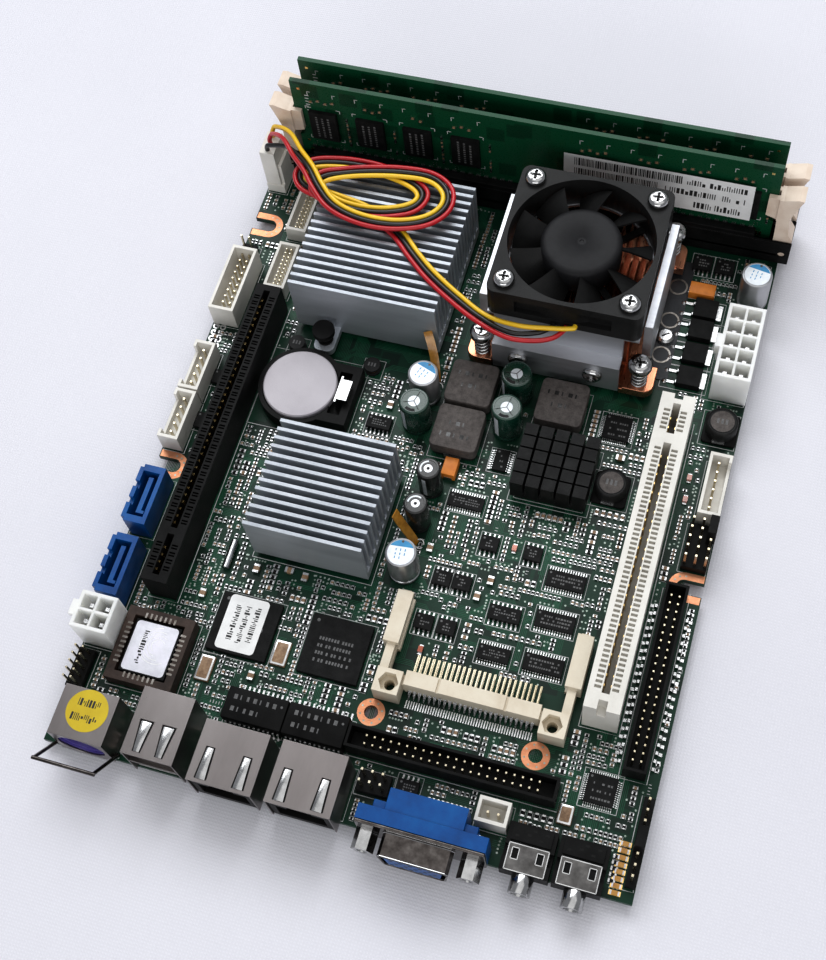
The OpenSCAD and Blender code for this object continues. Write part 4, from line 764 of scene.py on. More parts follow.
def package_detail(x, y, z):
    """The marks and the leads of one chip package, told apart by its size."""
    w, d = x[1] - x[0], y[1] - y[0]
    if z[0] > 1 or w > 14:
        chips.lathe((x[0] + 1.6, y[1] - 1.6, z[1] + 0.004), ((0.45, 0), (0, 0.005)), 1, 12)
        for row in range(4 if w > 14 else 0):
            u = x[0] + 3.2
            while u < x[1] - 3.4:
                v = y[0] + 3.4 + row * 1.9
                chips.box((u, u + 0.5), (v, v + 0.85), (z[1], z[1] + 0.006), 1)
                u += rng.choice((0.75, 0.8, 1.3))
        if w > 14:
            frame_line(wider(x, 0.7), wider(y, 0.7), 0.25)
    elif 6.5 < w < 7.5 and 6.5 < d < 7.5:
        leaded(x, y, z[1], "nsew", 0.5, 0.24, 0.95)
    elif z[1] > 2 and x[0] > 120:
        for dy in (-1.7, 0, 1.7):
            cy = (y[0] + y[1]) / 2 + dy
            if dy:
                leg((x[0], cy), (-1, 0), 0.75, 1.1, 2.6, 0.4)
                chips.lathe((x[0] - 3.0, cy, 0.0), ((0.75, 0), (0.75, 0.2), (0.45, 0.55), (0, 0.7)), 0, 12)
        chips.box((x[1] - 0.1, x[1] + 1.3), wider(y, -0.5), (0.02, 0.9))
        frame_line((x[0] - 4.2, x[1] + 1.9), wider(y, 0.75))
        ground.take((x[0] - 4.3, x[1] + 2), wider(y, 0.8))
    elif w < 3.6 or d > w:
        leaded(x, y, z[1], "ew", 0.65 if d > 5 else 1.0)
    elif w > 9 or z[1] < 1.2:
        leaded(x, y, z[1], "ns", 0.65, 0.3, 1.15)
    else:
        leaded(x, y, z[1], "ns", 1.15 if w > 6 else 1.2, 0.42, 1.25)


for x, y, z in solids("ic_packages"):
    package_detail(x, y, z)
chips.done("chip_leads")

# ---- Small parts ----

smalls = Build("chip_resin", "ceramic_tan", "solder", "silkscreen", "glass_red")

# Printed outlines round the connectors, the coils and the heatsinks
for node, gap in (("pcie_slot", 0.6), ("pci_slot", 0.6), ("wafer_headers", 0.5), ("power_headers", 0.5),
                  ("box_headers", 0.6), ("sata_sockets", 0.5), ("bios_socket", 0.5), ("magnetics", 0.6),
                  ("io_hub_heatsink", 0.7), ("pin_fin_heatsink", 0.7), ("chipset_packages", 0.5),
                  ("battery_holder", 0.5), ("usb_shell", 0.5), ("rj45_shells", 0.5), ("ps2_shell", 0.5)):
    for x, y, z in solids(node):
        if z[0] < 2.5:
            line = [(min(max(u, 0.4), BOARD_X - 0.4), min(max(v, 0.4), BOARD_Y - 0.4))
                    for u, v in ((x[0] - gap, y[0] - gap), (x[1] + gap, y[0] - gap), (x[1] + gap, y[1] + gap),
                                 (x[0] - gap, y[1] + gap), (x[0] - gap, y[0] - gap))]
            smalls.run(line, 0.2, 0.028, 3)
            ground.take(x, y, gap + 0.15)


def small(x, y, size, upright, look, tall=0.5, outline=True):
    """A chip resistor or capacitor: a body between two soldered ends, and printed lines beside it."""
    a, b = size
    end = a * 0.26
    pieces = (((-a / 2 + end, a / 2 - end), look, tall), ((-a / 2, -a / 2 + end), 2, tall + 0.03),
              ((a / 2 - end, a / 2), 2, tall + 0.03))
    for (u0, u1), kind, h in pieces:
        across = (-b / 2, b / 2)
        bx, by = (across, (u0, u1)) if upright else ((u0, u1), across)
        smalls.box((x + bx[0], x + bx[1]), (y + by[0], y + by[1]), (0.01, h), kind)
    if outline:
        gap = 0.22
        for s in (-1, 1):
            v = s * (b / 2 + gap)
            line = ((x + v, y - a / 2), (x + v, y + a / 2))
            if not upright:
                line = ((x - a / 2, y + v), (x + a / 2, y + v))
            smalls.run(line, 0.13, 0.025, 3)


def row_of_smalls():
    upright = rng.random() < 0.55
    size = rng.choice(((1.1, 0.55), (1.1, 0.55), (1.25, 0.6), (1.7, 0.85)))
    pitch = size[1] + rng.choice((0.55, 0.65, 0.8))
    count = rng.choice((2, 3, 4, 5, 6, 8, 10, 12))
    x0, y0 = rng.uniform(1, BOARD_X - 1), rng.uniform(1, BOARD_Y - 1)
    look = rng.choice((0, 0, 1))
    a, b = size[0] / 2 + 0.12, size[1] / 2 + 0.2
    places = []
    for i in range(count):
        x, y = (x0 + i * pitch, y0) if upright else (x0, y0 + i * pitch)
        box = (near(x, b), near(y, a)) if upright else (near(x, a), near(y, b))
        if not ground.free(*box):
            break
        places.append((x, y, box))
    if len(places) < min(3, count):
        return
    for x, y, box in places:
        ground.take(*box)
        small(x, y, size, upright, look if rng.random() < 0.8 else 1 - look, 0.35 if size[0] < 1.2 else 0.55)


# The larger ceramic capacitors that can be made out on their own
LARGE_CERAMICS = (
    (79.6, 66.6, True), (79.9, 58.9, True), (92.6, 62.5, True), (44.4, 28.3, True), (118.2, 108.6, False),
    (124.3, 107.6, False), (128.6, 172.6, False), (55.8, 109.2, True), (124.5, 112.6, True),
    (94.8, 67.4, True), (60.5, 109.6, True), (51.2, 96.2, True), (58.4, 94.8, False), (77.6, 72.2, True),
    (135.4, 169.4, True), (25.2, 45.8, True), (36.4, 55.6, True), (44.8, 57.2, False), (49.2, 56.4, True),
    (16.2, 44.9, False))
for x, y, upright in LARGE_CERAMICS:
    w, d = (1.6, 2.4) if upright else (2.4, 1.6)
    box = (near(x, w / 2), near(y, d / 2))
    if ground.free(*box):
        small(x, y, (2.3, 1.5), upright, 1, 1.1, False)
        frame_line(wider(box[0], 0.3), wider(box[1], 0.3), 0.16, 0.03)
        ground.take(*box, pad=0.5)

# Glass diodes
for x, y in ((136.4, 107.4), (136.6, 101.2), (98.3, 77.4), (82.9, 45.6)):
    smalls.block((x, y), (1.0, 2.6), 0, (0.01, 0.5), 2)
    smalls.block((x, y), (1.2, 1.5), 0, (0.1, 1.15), 4)
    ground.take(near(x, 1), near(y, 1.6))


def single_small():
    """One small part in a gap that the rows have left."""
    x, y = rng.uniform(1, BOARD_X - 1), rng.uniform(1, BOARD_Y - 1)
    upright = rng.random() < 0.5
    a, b = (0.5, 0.75) if upright else (0.75, 0.5)
    if ground.free(near(x, a), near(y, b)):
        ground.take(near(x, a), near(y, b))
        small(x, y, (1.1, 0.55), upright, rng.choice((0, 0, 1)), 0.35)


ROW_TRIES, SINGLE_TRIES = 26000, 9000
for attempt in range(ROW_TRIES):
    row_of_smalls()
for attempt in range(SINGLE_TRIES):
    single_small()
smalls.done("small_parts")

# ---- Printing, vias and tracks ----

prints = Build("silkscreen", "via_tin", "run_green")


def via(x, y, r=0.27):
    prints.lathe((x, y, 0.02), ((r, 0), (0, 0.002)), 1, 8)


def via_field(x, y, step, chance, r=0.27):
    """A field of vias on a square grid, some of them left out."""
    v = y[0]
    while v < y[1]:
        u = x[0]
        while u < x[1]:
            if rng.random() < chance and ground.free(near(u, r), near(v, r)):
                via(u, v, r)
            u += step
        v += step


# Rows of test points beside the slots
via_field((4.5, 9.5), (108.5, 126), 1.1, 0.9)
via_field((93.5, 113), (84, 89.6), 1.0, 0.95)
via_field((60, 69.5), (92, 98), 1.25, 0.9, 0.36)
via_field((50.5, 56), (55.5, 64), 1.15, 0.8)
via_field((24.5, 31), (44, 56), 1.2, 0.8)


def printed_mark():
    """A short line of vias, or a short printed reference."""
    x, y = rng.uniform(1, BOARD_X), rng.uniform(1, BOARD_Y - 1)
    kind = rng.random()
    if kind < 0.55:
        count, step = rng.randint(2, 9), rng.choice((0.75, 0.9, 1.1))
        upright = rng.random() < 0.5
        for i in range(count):
            u, v = (x, y + i * step) if upright else (x + i * step, y)
            if ground.free(near(u, 0.25), near(v, 0.25)):
                via(u, v)
                ground.take(near(u, 0.1), near(v, 0.1))
    else:
        # A short printed reference: a few strokes that spell nothing
        count = rng.randint(2, 5)
        upright = rng.random() < 0.5
        box = ((x, x + 0.9), (y, y + count * 0.75)) if upright else ((x, x + count * 0.75), (y, y + 0.9))
        if ground.free(*box):
            ground.take(*box)
            for i in range(count):
                if upright:
                    prints.run(((x, y + i * 0.75), (x + rng.uniform(0.5, 0.9), y + i * 0.75)), 0.18, 0.024, 0)
                else:
                    prints.run(((x + i * 0.75, y), (x + i * 0.75, y + rng.uniform(0.5, 0.9))), 0.18, 0.024, 0)


PRINT_TRIES = 5200
for attempt in range(PRINT_TRIES):
    printed_mark()


def track_bundles(build, look, tries, far_y, reaches, level, rise):
    """Bundles of tracks with 45 degree bends, each track a hair further out than the one before."""
    for attempt in range(tries):
        x, y = rng.uniform(4, BOARD_X - 4), rng.uniform(4, far_y)
        turn = rng.choice((0, 90, 180, 270))
        first, second, third = reaches
        legs = ((rng.uniform(*first), 0), (rng.uniform(*second), rng.choice((45, -45))),
                (rng.uniform(*third), 0))
        for k in range(rng.randint(3, 9)):
            a = math.radians(turn)
            u, v = x - math.sin(a) * k * TRACK_PITCH, y + math.cos(a) * k * TRACK_PITCH
            line = [(u, v)]
            for length, bend in legs:
                u, v = polar(u, v, length, math.radians(turn + bend))
                line.append((u, v))
            if all(1 < p < BOARD_X - 1 and 1 < q < BOARD_Y - 1 for p, q in line):
                build.run(line, TRACK_WIDTH, level + rise * k, look)


TRACK_PITCH, TRACK_WIDTH = 0.42, 0.17
track_bundles(prints, 2, 240, 176, ((3, 12), (2, 6), (3, 14)), 0.006, 0.0004)
prints.done("board_print", smooth=0)

# ---- Capacitors, crystals and coils ----

def rounded(x, y, r, parts=5):
    """Outline of a rectangle with round corners."""
    line = []
    for cx, cy, start in ((x[1] - r, y[0] + r, -90), (x[1] - r, y[1] - r, 0), (x[0] + r, y[1] - r, 90),
                          (x[0] + r, y[0] + r, 180)):
        for i in range(parts + 1):
            a = math.radians(start + 90 * i / parts)
            line.append(polar(cx, cy, r, a))
    return line


def soft_box(build, x, y, z, r, edge, look=0):
    """A block with round corners and a softened top edge."""
    n = len(rounded(x, y, r))
    levels = [(0, z[0]), (0, z[1] - edge), (edge * 0.3, z[1] - edge * 0.3), (edge, z[1])]
    points = []
    for inset, h in levels:
        grown = rounded(wider(x, -inset), wider(y, -inset), max(r - inset, 0.05))
        points += [at(u, v, h) for u, v in grown]
    faces = [(j * n + i, j * n + (i + 1) % n, (j + 1) * n + (i + 1) % n, (j + 1) * n + i)
             for j in range(3) for i in range(n)]
    faces += [tuple(range(n - 1, -1, -1)), tuple(range(3 * n, 4 * n))]
    build.add(points, faces, look)


def wedge(build, centre, r, z, start, end, look, inner=0.0):
    """A flat sector or arc on a round top, between two angles in degrees."""
    x, y = centre
    count = 14
    turn = [math.radians(start + (end - start) * i / count) for i in range(count + 1)]
    outer = [polar(x, y, r, a) for a in turn]
    if inner < 0:
        # The part cut off by the chord between both ends
        build.add([at(u, v, z) for u, v in outer], [tuple(range(count + 1))], look)
        return
    build.strip([polar(x, y, inner, a) for a in turn], outer, z, look)


cans = Build("can_silver", "can_face", "can_blue", "can_green", "can_black", "tantalum", "crystal_can",
             "ceramic_tan", "ferrite", "solder")


def polymer_can(x, y, r, h, turn):
    """A bare can with a crimp near its base, a coloured segment and a few printed strokes on top."""
    cans.lathe((x, y, 0), ((r * 0.86, 0), (r * 0.97, 0.1), (r * 0.97, 0.6)), 8, 40)
    foot = ((r * 0.9, 0.6), (r * 0.99, 0.65), (r, 0.9), (r, 1.5))
    crimp = ((r * 0.93, 1.75), (r * 0.93, 2.0), (r, 2.3))
    top = ((r, h - 0.55), (r - 0.16, h - 0.16), (r - 0.5, h - 0.02), (r - 0.62, h - 0.1), (0, h - 0.1))
    cans.lathe((x, y, 0), foot + crimp + top, 0, 40)
    cans.lathe((x, y, h - 0.09), ((r - 0.66, 0), (0, 0.005)), 1, 32)
    wedge(cans, (x, y), r - 0.7, h - 0.07, turn - 62, turn + 62, 2, -1)
    c, s = math.cos(math.radians(turn)), math.sin(math.radians(turn))
    cans.lathe((x + c * (r - 1.05), y + s * (r - 1.05), h - 0.066), ((0.36, 0), (0, 0.004)), 4, 12)
    for i, row in enumerate((0.35, -0.75, -1.75)):
        for k in range(3 if i < 2 else 2):
            u = -1.3 + k * 1.15
            cx, cy = x + c * row + s * u, y + s * row - c * u
            tall = rng.uniform(0.5, 0.8)
            cans.run(((cx, cy), (cx + c * tall, cy + s * tall)), 0.22, h - 0.066, 2)


def sleeved_can(x, y, r, h, sleeve, turn, scored):
    """A can in a shrunk sleeve that folds over its top edge."""
    cans.lathe((x, y, 0), ((r * 0.86, 0), (r * 0.96, 0.1), (r * 0.96, 0.5)), 8, 36)
    wall = ((r * 0.9, 0.5), (r, 0.6), (r, 1.2), (r * 0.95, 1.5), (r, 1.85))
    fold = ((r, h - 0.6), (r - 0.17, h - 0.17), (r - 0.55, h), (r - 0.85, h - 0.03), (r - 0.9, h - 0.12))
    cans.lathe((x, y, 0), wall + fold, sleeve, 36)
    cans.lathe((x, y, h - 0.13), ((r - 0.86, 0), (0, 0.02)), 1 if scored else 0, 32)
    if scored:
        for bend, length in ((0, r - 1.0), (125, r - 1.1), (-125, r - 1.1)):
            a = math.radians(turn + bend)
            end = (x + math.cos(a) * length, y + math.sin(a) * length)
            cans.run(((x - math.cos(a) * 0.1, y - math.sin(a) * 0.1), end), 0.17, h - 0.08, 8)
        wedge(cans, (x, y), r - 0.9, h - 0.082, turn + 160, turn + 215, 8, r - 1.7)
    else:
        cans.lathe((x, y, h - 0.1), ((0.42, 0), (0, 0.01)), 8, 12)
        wedge(cans, (x, y), r - 0.9, h - 0.09, turn, turn + 120, 1, r - 1.35)
    # Printed stripe down the sleeve
    for k in range(5):
        first = polar(x, y, r + 0.004, math.radians(turn + 150 + k * 4))
        last = polar(x, y, r + 0.004, math.radians(turn + 154 + k * 4))
        corners = [at(*first, 2.2), at(*last, 2.2), at(*last, h - 1.2), at(*first, h - 1.2)]
        cans.add(corners, [(0, 1, 2, 3)], 1)


def tantalum_block(x, y):
    """A tantalum capacitor, with a terminal at each end of its longer side."""
    soft_box(cans, wider(x, -0.15), wider(y, -0.15), (0.1, 2.9), 0.2, 0.2, 5)
    if x[1] - x[0] > y[1] - y[0]:
        for u in (x[0], x[1] - 0.5):
            cans.box((u, u + 0.5), wider(y, -0.9), (0, 1.4), 9)
    else:
        for v in (y[0], y[1] - 0.5):
            cans.box(wider(x, -0.9), (v, v + 0.5), (0, 1.4), 9)


def crystal(x, y):
    """A flat crystal: a ceramic tray, a metal lid and the step on it."""
    soft_box(cans, x, y, (0, 0.75), 0.3, 0.1, 7)
    soft_box(cans, wider(x, -0.1), wider(y, -0.1), (0.7, 1.0), 0.3, 0.1, 6)
    soft_box(cans, wider(x, -0.6), wider(y, -0.6), (0.95, 1.1), 0.3, 0.05, 7)


for x, y, h, turn in ((64.1, 114.7, 12, 70), (73.1, 64.8, 12, 95), (141.5, 163.6, 13, 80)):
    polymer_can(x, y, 4, h, turn)
for x, y, turn in ((64.2, 106.2, 75), (87.8, 120.3, 60), (87.8, 110.2, 80)):
    sleeved_can(x, y, 4, 12, 3, turn, True)
for x, y, turn in ((73.2, 88.5, 100), (72.8, 78.4, 60)):
    sleeved_can(x, y, 3.1, 12, 4, turn, False)
tantalum_block((124.6, 131.8), (160.7, 164.8))
tantalum_block((74.6, 78.6), (91.9, 97.4))
crystal((47.6, 51.7), (32.5, 39))
crystal((30.6, 34.5), (24, 30.6))
crystal((125, 128.5), (13.3, 18))
# The clock crystal, a small can lying down
cans.sweep([(28.6, 53.6, 1.05), (28.6, 53.75, 1.05), (28.6, 61.2, 1.05), (28.6, 61.4, 1.05)], 0.98, 6, 20)
cans.done("capacitor_detail", replaces=("capacitors",))

TRANSFORMER_X = (41.8, 57.3)
coils = Build("inductor", "ferrite", "black_plastic", "solder", "laser_mark", "winding", "black_steel")


def power_choke(x, y, turned, end_terminal):
    """A square power choke: a moulded block with soft edges on a narrower foot, and its terminal."""
    soft_box(coils, wider(x, -0.5), wider(y, -0.5), (0.1, 2.4), 1.4, 0.1, 1)
    soft_box(coils, x, y, (2.2, 6.0), 1.5, 0.35, 0)
    terminal = ((x[0] + 4, x[0] + 8.6), (y[0], y[0] + 0.4))
    if end_terminal:
        terminal = ((x[1] - 0.4, x[1]), (y[0] + 4, y[0] + 8.6))
    coils.box(*terminal, (0.1, 2.0), 3)
    # Printed blocks in two rows, which spell nothing
    for row, count in ((8.1, 5), (4.6, 3)):
        for k in range(count):
            u = x[0] + 2.1 + k * 1.8 + (1.6 if count == 3 else 0)
            v = (y[1] - row - 1.3) if turned else y[0] + row
            coils.box((u, u + (0.4, 1.1)[k % 2]), (v, v + 1.2), (5.99, 6.008), 6)


def transformer(x0):
    """A network transformer: a black block with blocks for its printed lines."""
    soft_box(coils, (x0, x0 + 15.2), (15.6, 23.5), (0.5, 5.6), 0.25, 0.2, 2)
    coils.box((x0 + 0.4, x0 + 14.8), (15.9, 23.2), (0.3, 0.6), 2)
    for row, count in ((20.6, 7), (17.6, 5)):
        for k in range(count):
            u = x0 + 1.8 + k * 1.65
            coils.box((u, u + (0.9, 0.3, 0.6)[k % 3]), (row, row + 1.2), (5.59, 5.606), 4)
    coils.lathe((x0 + 13.9, 21.4, 5.602), ((0.32, 0), (0, 0.004)), 4, 12)


def round_choke(x, y):
    """A round choke: a ferrite drum on a square black base."""
    soft_box(coils, near(x, 4.5), near(y, 4.5), (0.05, 1.0), 1.0, 0.15, 2)
    drum = ((3.9, 0), (4.1, 0.25), (4.1, 3.9), (3.9, 4.2), (3.65, 4.3))
    coils.lathe((x, y, 0.9), drum + ((3.55, 4.05), (3.3, 4.0), (3.2, 4.12), (0, 4.14)), 1, 40)
    coils.lathe((x, y, 5.041), ((3.05, 0), (0, 0.004)), 0, 32)
    for s in (-1, 1):
        coils.box(near(x, 1.6), (y + s * 4.1 - 0.4, y + s * 4.1 + 0.4), (0.9, 1.25), 3)
    for k in range(3):
        coils.box((x - 1.4 + k * 1.1, x - 0.8 + k * 1.1), (y - 0.7, y + 0.8), (5.04, 5.052), 4)


def bobbin(x, y):
    """A small wound bobbin: a ferrite spool with its winding between two flanges."""
    coils.lathe((x, y, 0), ((2.25, 0), (2.3, 0.1), (2.3, 0.7), (1.5, 0.9), (1.5, 1.8), (2.3, 2.0), (2.3, 2.5),
                            (2.2, 2.6), (0, 2.6)), 1, 32)
    coils.lathe((x, y, 0.9), ((1.55, 0), (1.85, 0.05), (1.85, 0.85), (1.55, 0.9)), 5, 28)
    for k in range(3):
        coils.box((x - 1.1 + k * 0.85, x - 0.65 + k * 0.85), near(y, 0.55), (2.59, 2.602), 4)


power_choke((69.8, 82.3), (111.9, 124.5), False, False)
power_choke((69.8, 82.3), (98.1, 110.7), True, False)
power_choke((94, 106.6), (111.8, 124.6), False, True)
for x0 in TRANSFORMER_X:
    transformer(x0)
for x, y in ((117.9, 99.2), (141.3, 123)):
    round_choke(x, y)
for x, y in ((25.7, 120.8), (47.8, 119)):
    bobbin(x, y)
coils.done("coil_detail", replaces=("magnetics",))

# Leads of the two network transformers
net_leads = Build("solder")
for x0 in TRANSFORMER_X:
    for i in range(12):
        u = x0 + 0.9 + i * 1.22
        leg((u, 23.5), (0, 1), 0.5, 2.6, 2.3, 0.22, net_leads)
        leg((u, 15.6), (0, -1), 0.5, 2.6, 1.0, 0.22, net_leads)
net_leads.done("network_leads")

# ---- Cooler ----

FAN_X, FAN_Y = 97.2, 150.3
rotor = Build("hub_plastic", "fan_plastic")
HUB_WALL = ((9.7, 24.4), (10.35, 24.6), (10.4, 25.2), (10.4, 30.9), (10.1, 31.7), (9.4, 32.15))
HUB_TOP = ((8.6, 32.25), (1.6, 32.25), (1.4, 32.05), (0.6, 32.0), (0.5, 31.8), (0, 31.75))
rotor.lathe((FAN_X, FAN_Y, 0), HUB_WALL + HUB_TOP, 0, 64)
BLADES, RINGS, STEPS = 9, 6, 8


def fan_blade(blade):
    """One swept blade: a curved sheet from the hub out, given a thickness."""
    points = []
    for face in (0, 1):
        for i in range(RINGS + 1):
            t = i / RINGS
            r = 10.3 + 7.8 * t
            reach = 25 + 2 * t
            for j in range(STEPS + 1):
                s = j / STEPS
                a = math.radians(blade * 360 / BLADES + 14 - 3 * t + reach * (s - 0.5))
                h = 31.5 - 0.5 * t - 6.1 * s + 0.7 * math.sin(math.pi * s) - (0.75 if face else 0)
                points.append(at(*polar(FAN_X, FAN_Y, r, a), max(h, 24.5)))
    row, n = STEPS + 1, (RINGS + 1) * (STEPS + 1)
    faces = []
    for i in range(RINGS):
        for j in range(STEPS):
            a, b, c, d = i * row + j, i * row + j + 1, (i + 1) * row + j + 1, (i + 1) * row + j
            faces += [(a, d, c, b), (n + a, n + b, n + c, n + d)]
    for i in range(RINGS):
        for j in (0, STEPS):
            a, d = i * row + j, (i + 1) * row + j
            faces.append((a, n + a, n + d, d) if j else (d, n + d, n + a, a))
    for j in range(STEPS):
        for i in (0, RINGS):
            a, b = i * row + j, i * row + j + 1
            faces.append((b, n + b, n + a, a) if i else (a, n + a, n + b, b))
    rotor.add(points, faces, 1)


for blade in range(BLADES):
    fan_blade(blade)
rotor.done("rotor_detail", body="rotor", replaces=("fan_rotor",), smooth=50)

springs = Build("spring_steel")


def cooler_spring(x, y):
    """A coil spring whose first and last turns lie flat."""
    turns, parts, flat = 5.8, 22, 0.8
    coil_radius, wire_radius = 1.79, 0.38
    foot, height = 5.42, 6.76
    coil = []
    for i in range(int(turns * parts) + 1):
        t = i / parts
        rise = min(max(t - flat, 0), turns - 2 * flat) / (turns - 2 * flat)
        coil.append((*polar(x, y, coil_radius, 2 * math.pi * t), foot + height * rise))
    springs.sweep(coil, wire_radius, 0, 10)


for x in (76, 118):
    for y in (129.4, 171.4):
        cooler_spring(x, y)
springs.done("spring_detail", replaces=("cooler_springs",), smooth=60)

# ---- Memory modules ----

CHIP_X = [17.2 + 13.6 * i + (21.5 if i > 3 else 0) for i in range(8)]


def module_detail(name, body, middle_y, labelled):
    made = Build("silkscreen", "ceramic_tan", "solder", "gold", "laser_mark", "black_steel")
    for face in (-1, 1):
        def plate(x, z, thick, look, lift=0.0):
            y = middle_y + face * (0.635 + lift)
            made.box(x, (y, y + face * thick) if face > 0 else (y - thick, y), z, look)

        for n, cx in enumerate(CHIP_X):
            # Corner ticks round each chip, and the printed dashes on it
            for sx in (-1, 1):
                for sz, cz in ((-1, 13.9), (1, 27.2)):
                    u = cx + sx * 5.0
                    plate(sorted((u, u - sx * 1.1)), near(cz, 0.11), 0.02, 0)
                    plate(near(u, 0.11), sorted((cz, cz - sz * 1.1)), 0.02, 0)
            for col in range(3):
                v = 16.2
                while v < 24.4:
                    w = rng.uniform(0.35, 0.8)
                    plate((cx - 2.2 + col * 1.7, cx - 1.6 + col * 1.7), (v, v + w), 0.006, 4, 1.1)
                    v += w + 0.4
            # Small parts above and beside it
            for k in range(4):
                u, v = cx - 3.4 + k * 2.1, 29.2 + 0.7 * (k % 2)
                if rng.random() < 0.75:
                    plate((u, u + 0.9), (v, v + 0.45), 0.4, 1)
                    plate((u - 0.15, u + 0.1), (v, v + 0.45), 0.42, 2)
                    plate((u + 0.8, u + 1.05), (v, v + 0.45), 0.42, 2)
            u = cx + 6.8
            for k in range(7):
                v = 13.4 + k * 1.7
                if rng.random() < 0.8:
                    plate(near(u, 0.25), (v, v + 0.9), 0.4, 1 if k % 3 else 5)
                    plate(near(u, 0.25), (v - 0.15, v + 0.1), 0.42, 2)
                    plate(near(u, 0.25), (v + 0.8, v + 1.05), 0.42, 2)
            for sx in (-1, 1):
                u = cx + sx * 3.6
                plate(near(u, 0.1), (31.8, 33.3), 0.02, 0)
                plate((min(u, u + 0.9), max(u, u + 0.9)), (33.1, 33.3), 0.02, 0)
                for du in (0, 0.9):
                    for dv in (0, 0.9):
                        plate((u + du - 0.17, u + du + 0.17), (11.4 + dv, 11.74 + dv), 0.02, 2)
        # Resistor packs in a row above the socket, then gold contacts down into it
        u = 12.0
        while u < 138:
            if not 71 < u < 79:
                plate((u, u + 1.4), (9.9, 10.7), 0.4, 5)
                for k in range(3):
                    plate((u + 0.15 + 0.42 * k, u + 0.38 + 0.42 * k), (9.72, 9.95), 0.3, 2)
                    plate((u + 0.15 + 0.42 * k, u + 0.38 + 0.42 * k), (10.65, 10.88), 0.3, 2)
            u += 2.3
        u = 11.2
        while u < 140:
            if abs(u - 75.0) > 1.6:
                plate((u, u + 0.72), (7.2, 8.9), 0.02, 3)
            u += 1.0
        for u, v in ((11.2, 33.8), (139.8, 33.8), (11.2, 12.4)):
            plate(near(u, 0.4), near(v, 0.4), 0.02, 3)
        for k in range(6):
            plate((12.6, 12.6 + rng.uniform(0.9, 1.5)), (25.4 + k * 1.2, 25.7 + k * 1.2), 0.02, 0)
    made.done(name, body=body, smooth=0)
    if labelled:
        tag = Build("label_white", "label_bars")
        y = 178.98
        tag.box((85.5, 136.2), (y, y + 0.06), (14.3, 28.7), 0)
        for row, (low, high) in enumerate(((24.6, 27.7), (20.4, 23.4))):
            u = 88.4
            while u < (117 if row == 0 else 111):
                w = rng.choice((0.18, 0.18, 0.34, 0.5))
                tag.box((u, u + w), near(y, 0.01), (low, high), 1)
                u += w + rng.choice((0.2, 0.2, 0.36))
        # Rows of blocks in place of the printed lines
        for low, high, start, stop in ((24.8, 26.9, 118.6, 134), (20.4, 22.6, 113, 134),
                                       (16.1, 18.3, 88.4, 112), (15.6, 18.0, 121, 133)):
            u = start
            while u < stop:
                w = rng.choice((0.26, 0.26, 0.5, 0.8))
                if rng.random() < 0.9:
                    tag.box((u, u + w), near(y, 0.01), (low, high - rng.choice((0, 0, 0.8))), 1)
                u += w + 0.36
        tag.done("module_label", body=body, smooth=0)


module_detail("front_module_detail", "front_module", 180.8, True)
module_detail("back_module_detail", "back_module", 188.2, False)

# ---- Labels and strips ----

labels = Build("label_white", "label_bars", "label_silver", "label_yellow", "kapton", "solder")


def dashes(x, y, z, rows, look, size=0.55, upright=True):
    """Rows of short blocks standing in for a printed line."""
    along = y if upright else x
    across = x if upright else y
    for k in range(rows):
        c = across[0] + (across[1] - across[0]) * (k + 0.5) / rows
        u = along[0] + rng.uniform(0, 0.8)
        while u < along[1] - 0.6:
            w = rng.choice((0.2, 0.2, 0.32, 0.55))
            low = c - size * rng.choice((1, 1, 0.3))
            high = c + size * rng.choice((1, 1, 0.4))
            box = ((low, high), (u, u + w)) if upright else ((u, u + w), (low, high))
            labels.box(*box, (z, z + 0.008), look)
            u += w + 0.26


labels.prism(rounded((33, 43.3), (32.9, 47.4), 1.1), (1.5, 1.57), 0)
dashes((34.6, 42.2), (35.2, 45.6), 1.57, 3, 1, 0.7)
labels.prism(rounded((13.1, 24.3), (21, 34), 1.0), (4.0, 4.06), 2)
dashes((15.2, 17.8), (22.6, 32.6), 4.06, 1, 1, 0.6)
for r in (1.6, 2.6, 3.6, 4.6):
    wedge(labels, (20.4, 28.6), r + 0.18, 4.064, 20 * r, 20 * r + 210, 0, r)
labels.lathe((12.9, 6.7, 13.0), ((5.2, 0), (5.2, 0.06), (0, 0.06)), 3, 48)
dashes((9.6, 16.4), (7.3, 9.7), 13.06, 1, 1, 0.9, False)
dashes((9.0, 16.8), (3.6, 6.0), 13.06, 1, 1, 0.9, False)


def ribbon(line, width, side, thick, look):
    """A flat strip bent along a line of 3-D points."""
    side = Vector(side).normalized() * width / 2
    points = []
    for i, p in enumerate(line):
        a, b = Vector(line[max(i - 1, 0)]), Vector(line[min(i + 1, len(line) - 1)])
        off = (b - a).cross(side).normalized() * thick / 2
        for q in (side + off, -side + off, -side - off, side - off):
            points.append(at(*(Vector(p) + q)))
    faces = [(4 * i + k, 4 * i + (k + 1) % 4, 4 * i + 4 + (k + 1) % 4, 4 * i + 4 + k)
             for i in range(len(line) - 1) for k in range(4)]
    faces += [(3, 2, 1, 0), tuple(range(4 * len(line) - 4, 4 * len(line)))]
    labels.add(points, faces, look)


